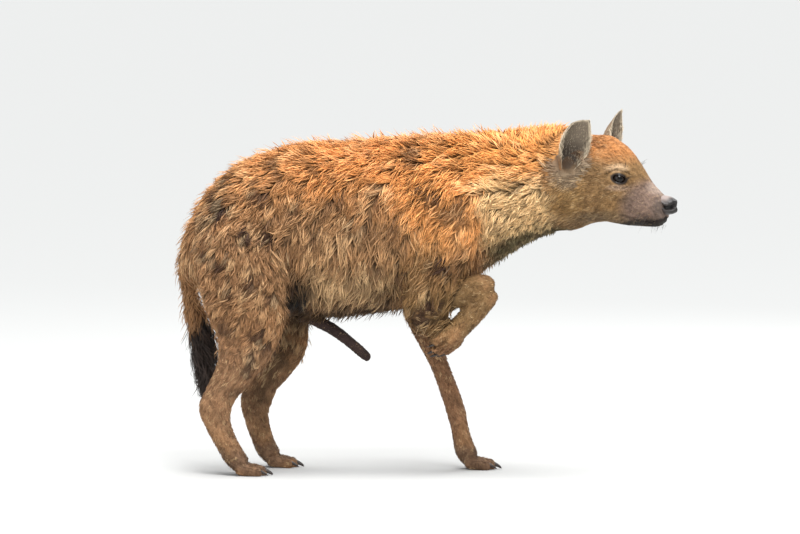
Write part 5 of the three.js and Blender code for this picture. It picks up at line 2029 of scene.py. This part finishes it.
    @staticmethod
    def groups(zone: Zone, grown: dict[str, np.ndarray]) -> dict[str, np.ndarray]:
        """Coat pieces that a zone's roots belong to.

        Args:
            zone: the zone.
            grown: how the coat grows at each root.

        Returns:
            For each piece which roots are its own.
        """
        everything = np.ones(len(grown["place"]), bool)
        if zone is Zone.TRUNK:
            neck = grown["place"] > 11
            high, right = np.sin(grown["angle"]) > 0.62, np.cos(grown["angle"]) < 0
            return {"coat_neck_right": neck & right, "coat_neck_left": neck & ~right,
                    "coat_back_right": ~neck & high & right, "coat_back_left": ~neck & high & ~right,
                    "coat_flank_right": ~neck & ~high & right,
                    "coat_flank_left": ~neck & ~high & ~right}
        if zone in (Zone.FORE_LEFT, Zone.HIND_RIGHT, Zone.HIND_LEFT):
            name = f"coat_{zone.name.lower()}"
            low = grown["length"] < 22
            return {name: ~low, f"{name}_low": low}
        name = {
            Zone.HEAD: "coat_head", Zone.FORE_RIGHT_UPPER: "coat_fore_right",
            Zone.FORE_RIGHT_LOWER: "coat_fore_right_low", Zone.FORE_RIGHT_FOOT: "coat_fore_right_low",
            Zone.TAIL: "coat_tail", Zone.SHEATH: "coat_sheath",
        }[zone]
        return {name: everything}

    @staticmethod
    def join(items: list[Roots]) -> Roots:
        """Roots of several zones as one.

        Args:
            items: the roots of each zone.

        Returns:
            All roots, each zone on its own strip of the chart.
        """
        charts = []
        for k, item in enumerate(items):
            chart = item.chart.copy()
            chart[:, 1] = (k + chart[:, 1]) / len(items)
            charts.append(chart)
        joined = {key: np.concatenate([getattr(item, key) for item in items]) for key in ROOT_ROWS}
        joined["chart"] = np.concatenate(charts)
        return Roots(**joined)


@dataclass
class EarCoat:
    """Skin and hair of the two ears."""

    place: Place
    back: tuple[int, int, int] = (134, 114, 92)
    cup: tuple[int, int, int] = (124, 111, 95)
    # painted shade deep in the lower cup
    deep: tuple[int, int, int] = (70, 60, 51)
    rim: tuple[int, int, int] = (212, 196, 170)
    base: tuple[int, int, int] = (150, 114, 82)

    def colours(self, spot: np.ndarray) -> np.ndarray:
        """Colours for how far inside, across and up the ear.

        Args:
            spot: one row of the three for each point.

        Returns:
            Linear colours.
        """
        inside, across, up = spot[:, 0:1], np.abs(spot[:, 1:2]), spot[:, 2:3]
        colour = linear(self.back) * (1 - inside) + linear(self.cup) * inside
        # the lower middle of the cup darkened: painted shade deep in the hollow
        dark = inside * (1 - ease(up, 0.3, 0.72)) * (1 - ease(across, 0.45, 0.85))
        colour = tint(colour, dark, self.deep)
        rim = np.clip(ease(across, 0.86, 1.0) + ease(up, 0.95, 1.0), 0, 1) * 0.7
        colour = tint(colour, rim, self.rim)
        return tint(colour, (1 - ease(up, 0.1, 0.4)) * (1 - inside), self.base)

    def skin(self) -> bpy.types.Object:
        """Both ears as one mesh with the skin's attributes.

        Returns:
            The object.
        """
        parts, colours, fibres = [], [], []
        for ear in EARS.values():
            points, faces, spot = ear.mesh()
            parts.append((points, faces))
            colours.append(self.colours(spot))
            fibres.append(np.stack([spot[:, 1] * 30, spot[:, 2] * 12, spot[:, 0] * 9], -1))
        points, faces = merged(parts)
        ears = as_object("ears_skin", self.place.metres(points), faces)
        give(ears.data, "shade", "FLOAT", np.full(len(points), 0.95))
        give(ears.data, "fibre", "FLOAT_VECTOR", np.concatenate(fibres))
        give(ears.data, "coat_colour", "FLOAT_COLOR", opaque(np.concatenate(colours)))
        return ears

    def roots(self, seed: int = 31) -> tuple[Roots, BVHTree]:
        """Roots of the ears' hair: short on the back, long on the rim and at the cup's front.

        Args:
            seed: number of the draw.

        Returns:
            The roots, and a tree of the ears in millimetres.
        """
        draw = np.random.default_rng(seed)
        found = []
        trees = []
        for ear in EARS.values():
            points, faces, spot = ear.mesh()
            trees.append((points, faces))
            corner = points[faces]
            cross = np.cross(corner[:, 1] - corner[:, 0], corner[:, 2] - corner[:, 0])
            area = np.linalg.norm(cross, axis=1) / 2
            where = spot[faces].mean(1)
            inside, edge = where[:, 0] > 0.5, np.abs(where[:, 1]) > 0.86
            crowd = np.where(inside, 0.045, 0.16) * np.where(edge, 2.2, 1.0) * (where[:, 2] > 0.06)
            picked, share = scatter(draw, area, crowd)
            spots = (corner[picked] * share).sum(1)
            at = (spot[faces[picked]] * share).sum(1)
            ups = unit(cross)[picked]
            up, _, across = ear.axes()
            rim = ease(np.abs(at[:, 1]), 0.8, 1.0)
            fringe = at[:, 0] * ease(np.abs(at[:, 1]), 0.5, 0.95) * (1 - ease(at[:, 2], 0.5, 0.9))
            lie = up + across * (0.5 * at[:, 1] * rim)[:, None] + draw.normal(0, 0.15, (len(spots), 3))
            length = 9 + 5 * rim + 16 * fringe
            height = 1.4 + 2.2 * rim + 5 * fringe
            width = np.full(len(spots), 1.3)
            turn = at[:, 1] * 0.24 + 0.25 + 0.5 * len(found)
            chart = np.stack([np.clip(turn, 0, 1), np.clip(at[:, 2], 0, 1)], -1)
            pale = 0.55 * (at[:, 0] > 0.5) * draw.uniform(0, 1, len(spots))
            colour = tint(self.colours(at), pale, self.rim)
            found.append(Roots(spots, ups, flat(lie, ups), length, height, width, chart, colour))
        points, faces = merged(trees)
        joined = Coat.join(found)
        joined.chart[:, 1] = np.concatenate([item.chart[:, 1] for item in found])
        return joined, BVHTree.FromPolygons(points.tolist(), faces.tolist())


@dataclass
class NosePad:
    """The bare nose with its nostrils."""

    place: Place
    length: float = 37.6
    rise: float = 26.2
    drop: float = 21.8
    side: float = 25.4
    along: float = 231
    z: float = 634
    nostril: tuple[tuple[float, float, float], ...] = (
        (266, 9.5, 633), (262, 14, 630), (253, 20.5, 629), (244, 25, 633), (238, 26, 641))

    def build(self, finish: BareFinish) -> bpy.types.Object:
        """The nose pad.

        Args:
            finish: its finish.

        Returns:
            The object.
        """
        turn = np.linspace(0, math.pi / 2 * 0.985, 72)
        s = np.sin(turn)
        size = np.cos(turn) ** 0.52 * (0.88 + 0.12 * np.sin(turn * 2))
        angle = np.linspace(0, 2 * math.pi, 144, endpoint=False)
        c, n = np.cos(angle), np.sin(angle)
        tall = np.where(n > 0, self.rise, self.drop)
        side = np.outer(size, self.side * np.sign(c) * np.abs(c) ** 0.86)
        high = np.outer(size, tall * np.sign(n) * np.abs(n) ** 0.86)
        along = self.along - 5 + (self.length + 5) * s
        own = np.stack([np.broadcast_to(along[:, None], side.shape), side,
                        self.z + high - 3 * s[:, None]], -1)
        points = own.reshape(-1, 3)
        even = points.copy()
        even[:, 1] = np.abs(even[:, 1])
        path = along_line(np.array(self.nostril))
        away = np.linalg.norm(even[:, None] - path[None], axis=2)
        near, spot = away.min(1), away.argmin(1)
        reach = np.interp(spot, (0, 22, 36, 60), (6.6, 6.6, 4.0, 2.0))
        depth = 1 - ease(near / reach, 0.55, 1.25)
        hollow = 10.5 * depth
        lip = 1.3 * np.exp(-((near - reach * 1.9) / 2.4) ** 2)
        split = 1.3 * np.exp(-(even[:, 1] / 1.1) ** 2) * (1 - ease(points[:, 2], 622, 632))
        middle = np.array([self.along - 4, 0, self.z - 1])
        points = points + unit(middle - points) * (hollow - lip + split)[:, None]
        world = (np.outer(points[:, 0], HEAD_T) + np.outer(points[:, 1], HEAD_L)
                 + np.array([HEAD_BASE[0], HEAD_BASE[1], 0]))
        world[:, 2] = points[:, 2]
        solid, faces = tube(world.reshape(*side.shape, 3))
        pad = as_object("nose_pad", self.place.metres(solid), faces)
        # deep: painted shade in the nostrils, and a darker front and bottom of the pad, partly its own
        # colour and partly painted shade
        front = 0.75 * ease(points[:, 0], 246, 262) * (1 - ease(points[:, 2], 646, 660))
        give(pad.data, "deep", "FLOAT", np.concatenate([np.maximum(depth, front), [0.0, 0.0]]))
        # pale: paler top of the pad, partly its own skin and partly painted light from the sky
        top = ease(points[:, 2], 640, 655) * (1 - ease(points[:, 0], 246, 264))
        give(pad.data, "pale", "FLOAT", np.concatenate([top, [0.0, 0.0]]))
        pad.data.materials.append(finish.material())
        return pad


@dataclass
class Whiskers:
    """Long stiff hairs of the muzzle and brow."""

    place: Place
    seed: int = 41

    def build(self, finish: BareFinish) -> bpy.types.Object:
        """All whiskers as one mesh of thin cones.

        Args:
            finish: their finish.

        Returns:
            The object.
        """
        draw = np.random.default_rng(self.seed)
        parts = []
        sets = (((212, 39, 622), (16, 2, 12), (-0.6, 0.42, -0.7), 42, 16),
                ((158, 47, 724), (6, 2, 3), (0.45, 0.6, 0.8), 24, 6),
                ((224, 16, 588), (12, 8, 2), (-0.3, 0.3, -1.0), 16, 8))
        for hand in (-1, 1):
            for middle, spread, direction, length, count in sets:
                for _ in range(count):
                    own = np.array(middle) + draw.uniform(-1, 1, 3) * np.array(spread)
                    way = unit(np.array(direction) + draw.normal(0, 0.22, 3))
                    start = head_point(own[0], (own[1] - 3) * hand, own[2])
                    heading = HEAD_T * way[0] + HEAD_L * way[1] * hand + UP * way[2]
                    size = length * draw.uniform(0.6, 1.15)
                    s = np.linspace(0, 1, 7)[:, None]
                    centre = start + heading * size * s - UP * size * 0.22 * s ** 2
                    thick = 0.3 * (1 - s[:, 0]) + 0.06
                    side = unit(np.cross(heading, UP))
                    parts.append(tube(hoops(centre, thick, thick, side, np.cross(side, heading), 4)))
        points, faces = merged(parts)
        hairs = as_object("whiskers", self.place.metres(points), faces)
        hairs.data.materials.append(finish.material())
        return hairs


@dataclass
class Studio:
    """Camera, pale floor and soft light."""

    place: Place
    lens: float = 300
    distance: float = 15.7
    elevation: float = 4
    target: tuple[float, float, float] = (-70.5, 0.0, 481.7)

    def camera(self) -> None:
        """Camera at the photograph's angle."""
        target = self.place.metres(np.array([self.target]))[0]
        tilt = math.radians(self.elevation)
        data = bpy.data.cameras.new("camera")
        data.lens, data.sensor_width = self.lens, 36
        data.clip_end = 300
        camera = bpy.data.objects.new("camera", data)
        camera.location = target + self.distance * np.array([0, -math.cos(tilt), math.sin(tilt)])
        camera.rotation_euler = (math.pi / 2 - tilt, 0, 0)
        bpy.context.scene.collection.objects.link(camera)
        bpy.context.scene.camera = camera

    def floor(self) -> None:
        """Wide, flat, pale floor that fills the picture from every side."""
        corners = ((-1, -1, 0), (1, -1, 0), (1, 1, 0), (-1, 1, 0))
        points = FLOOR_REACH * np.array(corners, float)
        floor = as_object("floor", points, np.array([(0, 1, 2, 3)]))
        shader = Shader("pale_floor")
        shader.set(base_color=(0.52, 0.52, 0.508, 1), roughness=0.9)
        floor.data.materials.append(shader.material)

    def light(self) -> None:
        """Soft light from above and from the camera's side, and a pale sky."""
        for name, spot, size, power in (
            ("key", (0.6, -3.0, 4.2), 2.2, 190), ("fill", (-3.2, -2.6, 1.8), 2.6, 35),
            ("back", (1.5, 3.2, 2.6), 2.0, 45),
        ):
            data = bpy.data.lights.new(name, "AREA")
            data.energy, data.size = power, size
            lamp = bpy.data.objects.new(name, data)
            lamp.location = spot
            lamp.rotation_euler = (Vector((-0.05, 0, 0.45)) - Vector(spot)).to_track_quat(
                "-Z", "Y").to_euler()
            bpy.context.scene.collection.objects.link(lamp)
        data = bpy.data.lights.new("top", "SUN")
        data.energy, data.angle = 3.8, 0.8
        bpy.context.scene.collection.objects.link(bpy.data.objects.new("top", data))
        world = bpy.data.worlds.new("sky")
        world.use_nodes = True
        back = world.node_tree.nodes["Background"]
        back.inputs["Color"].default_value = (0.86, 0.9, 0.95, 1)
        back.inputs["Strength"].default_value = 0.5
        bpy.context.scene.world = world

    def build(self) -> None:
        """All of it."""
        self.camera()
        self.floor()
        self.light()
        bpy.context.scene.view_settings.view_transform = "Standard"


FLESH = ("head", "ear_right", "ear_left", "neck", "torso", "sheath", "tail_root", "tail_brush",
         "fore_right_upper", "fore_left_upper", "hind_right_upper", "hind_left_upper",
         "fore_right_lower", "fore_left_lower", "hind_right_lower", "hind_left_lower",
         "fore_right_foot", "fore_left_foot", "hind_right_foot", "hind_left_foot")
SLOTS = {"coat_head": "face_coat", "coat_ears": "ear_coat", "coat_neck": "mane_coat",
         "coat_tail": "dark_coat", "coat_sheath": "bare_skin", "coat_fore_right_low": "foot_coat",
         "coat_fore": "leg_coat", "coat_hind": "leg_coat", "coat": "body_coat"}


def settle(thing: bpy.types.Object, slot: str, *nodes: str) -> None:
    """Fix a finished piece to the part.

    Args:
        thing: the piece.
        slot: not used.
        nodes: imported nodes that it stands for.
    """
    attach(thing, BODY)
    if nodes:
        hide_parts(*nodes)
    LOG.info("%s: %d triangles", thing.name, len(triangles_of(thing.data)))


@dataclass
class Hyena:
    """The whole animal, built and fixed to the part piece by piece."""

    place: Place
    lid_skin: BareFinish = BareFinish("lid_skin", (26, 20, 19), 0.35, 900, 0.0002, 0.3)
    nose_leather: BareFinish = BareFinish("nose_leather", (50, 43, 40), 0.5, 620, 0.0006, 0.05)
    claw_horn: BareFinish = BareFinish("claw_horn", (44, 36, 32), 0.35, 300, 0.0003)
    whisker_horn: BareFinish = BareFinish("whisker_horn", (60, 50, 44), 0.4, 300, 0.0001)

    def dress_body(self) -> None:
        """The skin with its ears, and the coat."""
        skin = Skin(self.place).build()
        coat = Coat(self.place, Markings(), density=1.0)
        pieces, tree = coat.spread(skin)
        ear_coat = EarCoat(self.place)
        ears = ear_coat.skin()
        only(skin)
        ears.select_set(True)
        bpy.ops.object.join()
        skin.data.materials.append(SkinFinish().material())
        settle(skin, "body_coat", *FLESH)
        tufts = Tufts(self.place, tree)
        for name, roots in sorted(pieces.items()):
            slot = next(slot for start, slot in SLOTS.items() if name.startswith(start))
            settle(tufts.build(name, roots, Style.of_piece(name)), slot)
        roots, ear_tree = ear_coat.roots()
        settle(Tufts(self.place, ear_tree).build("coat_ears", roots, EAR_STYLE), "ear_coat")

    def dress_eyes(self) -> None:
        """Both eyeballs, and the rims of their lids."""
        lids = []
        for hand, node in ((-1, "eye_right"), (1, "eye_left")):
            eye = EyeSet(hand)
            settle(eye.ball(self.place, EyeFinish()), "eye", node)
            lids.append(eye.lids(self.place))
        rims = as_object("lids", *merged(lids))
        rims.data.materials.append(self.lid_skin.material())
        settle(rims, "bare_skin")

    def dress_paws(self) -> None:
        """The claws of every paw."""
        for name, (track, *stance) in PAWS.items():
            parts = [tube(TOE.claw_rings(*spot)) for spot in TOE.places(track, *stance)]
            points, faces = merged(parts)
            claws = as_object(f"claws_{name}", self.place.metres(points), faces)
            claws.data.materials.append(self.claw_horn.material())
            settle(claws, "claw")

    def build(self) -> None:
        """All pieces, in order."""
        self.dress_body()
        self.dress_eyes()
        settle(NosePad(self.place).build(self.nose_leather), "nose_skin", "nose")
        self.dress_paws()
        settle(Whiskers(self.place).build(self.whisker_horn), "face_coat")


def main() -> None:
    """Build the animal and its studio."""
    place = Place.of_frame()
    Hyena(place).build()
    Studio(place).build()


if __name__ == "__main__":
    main()
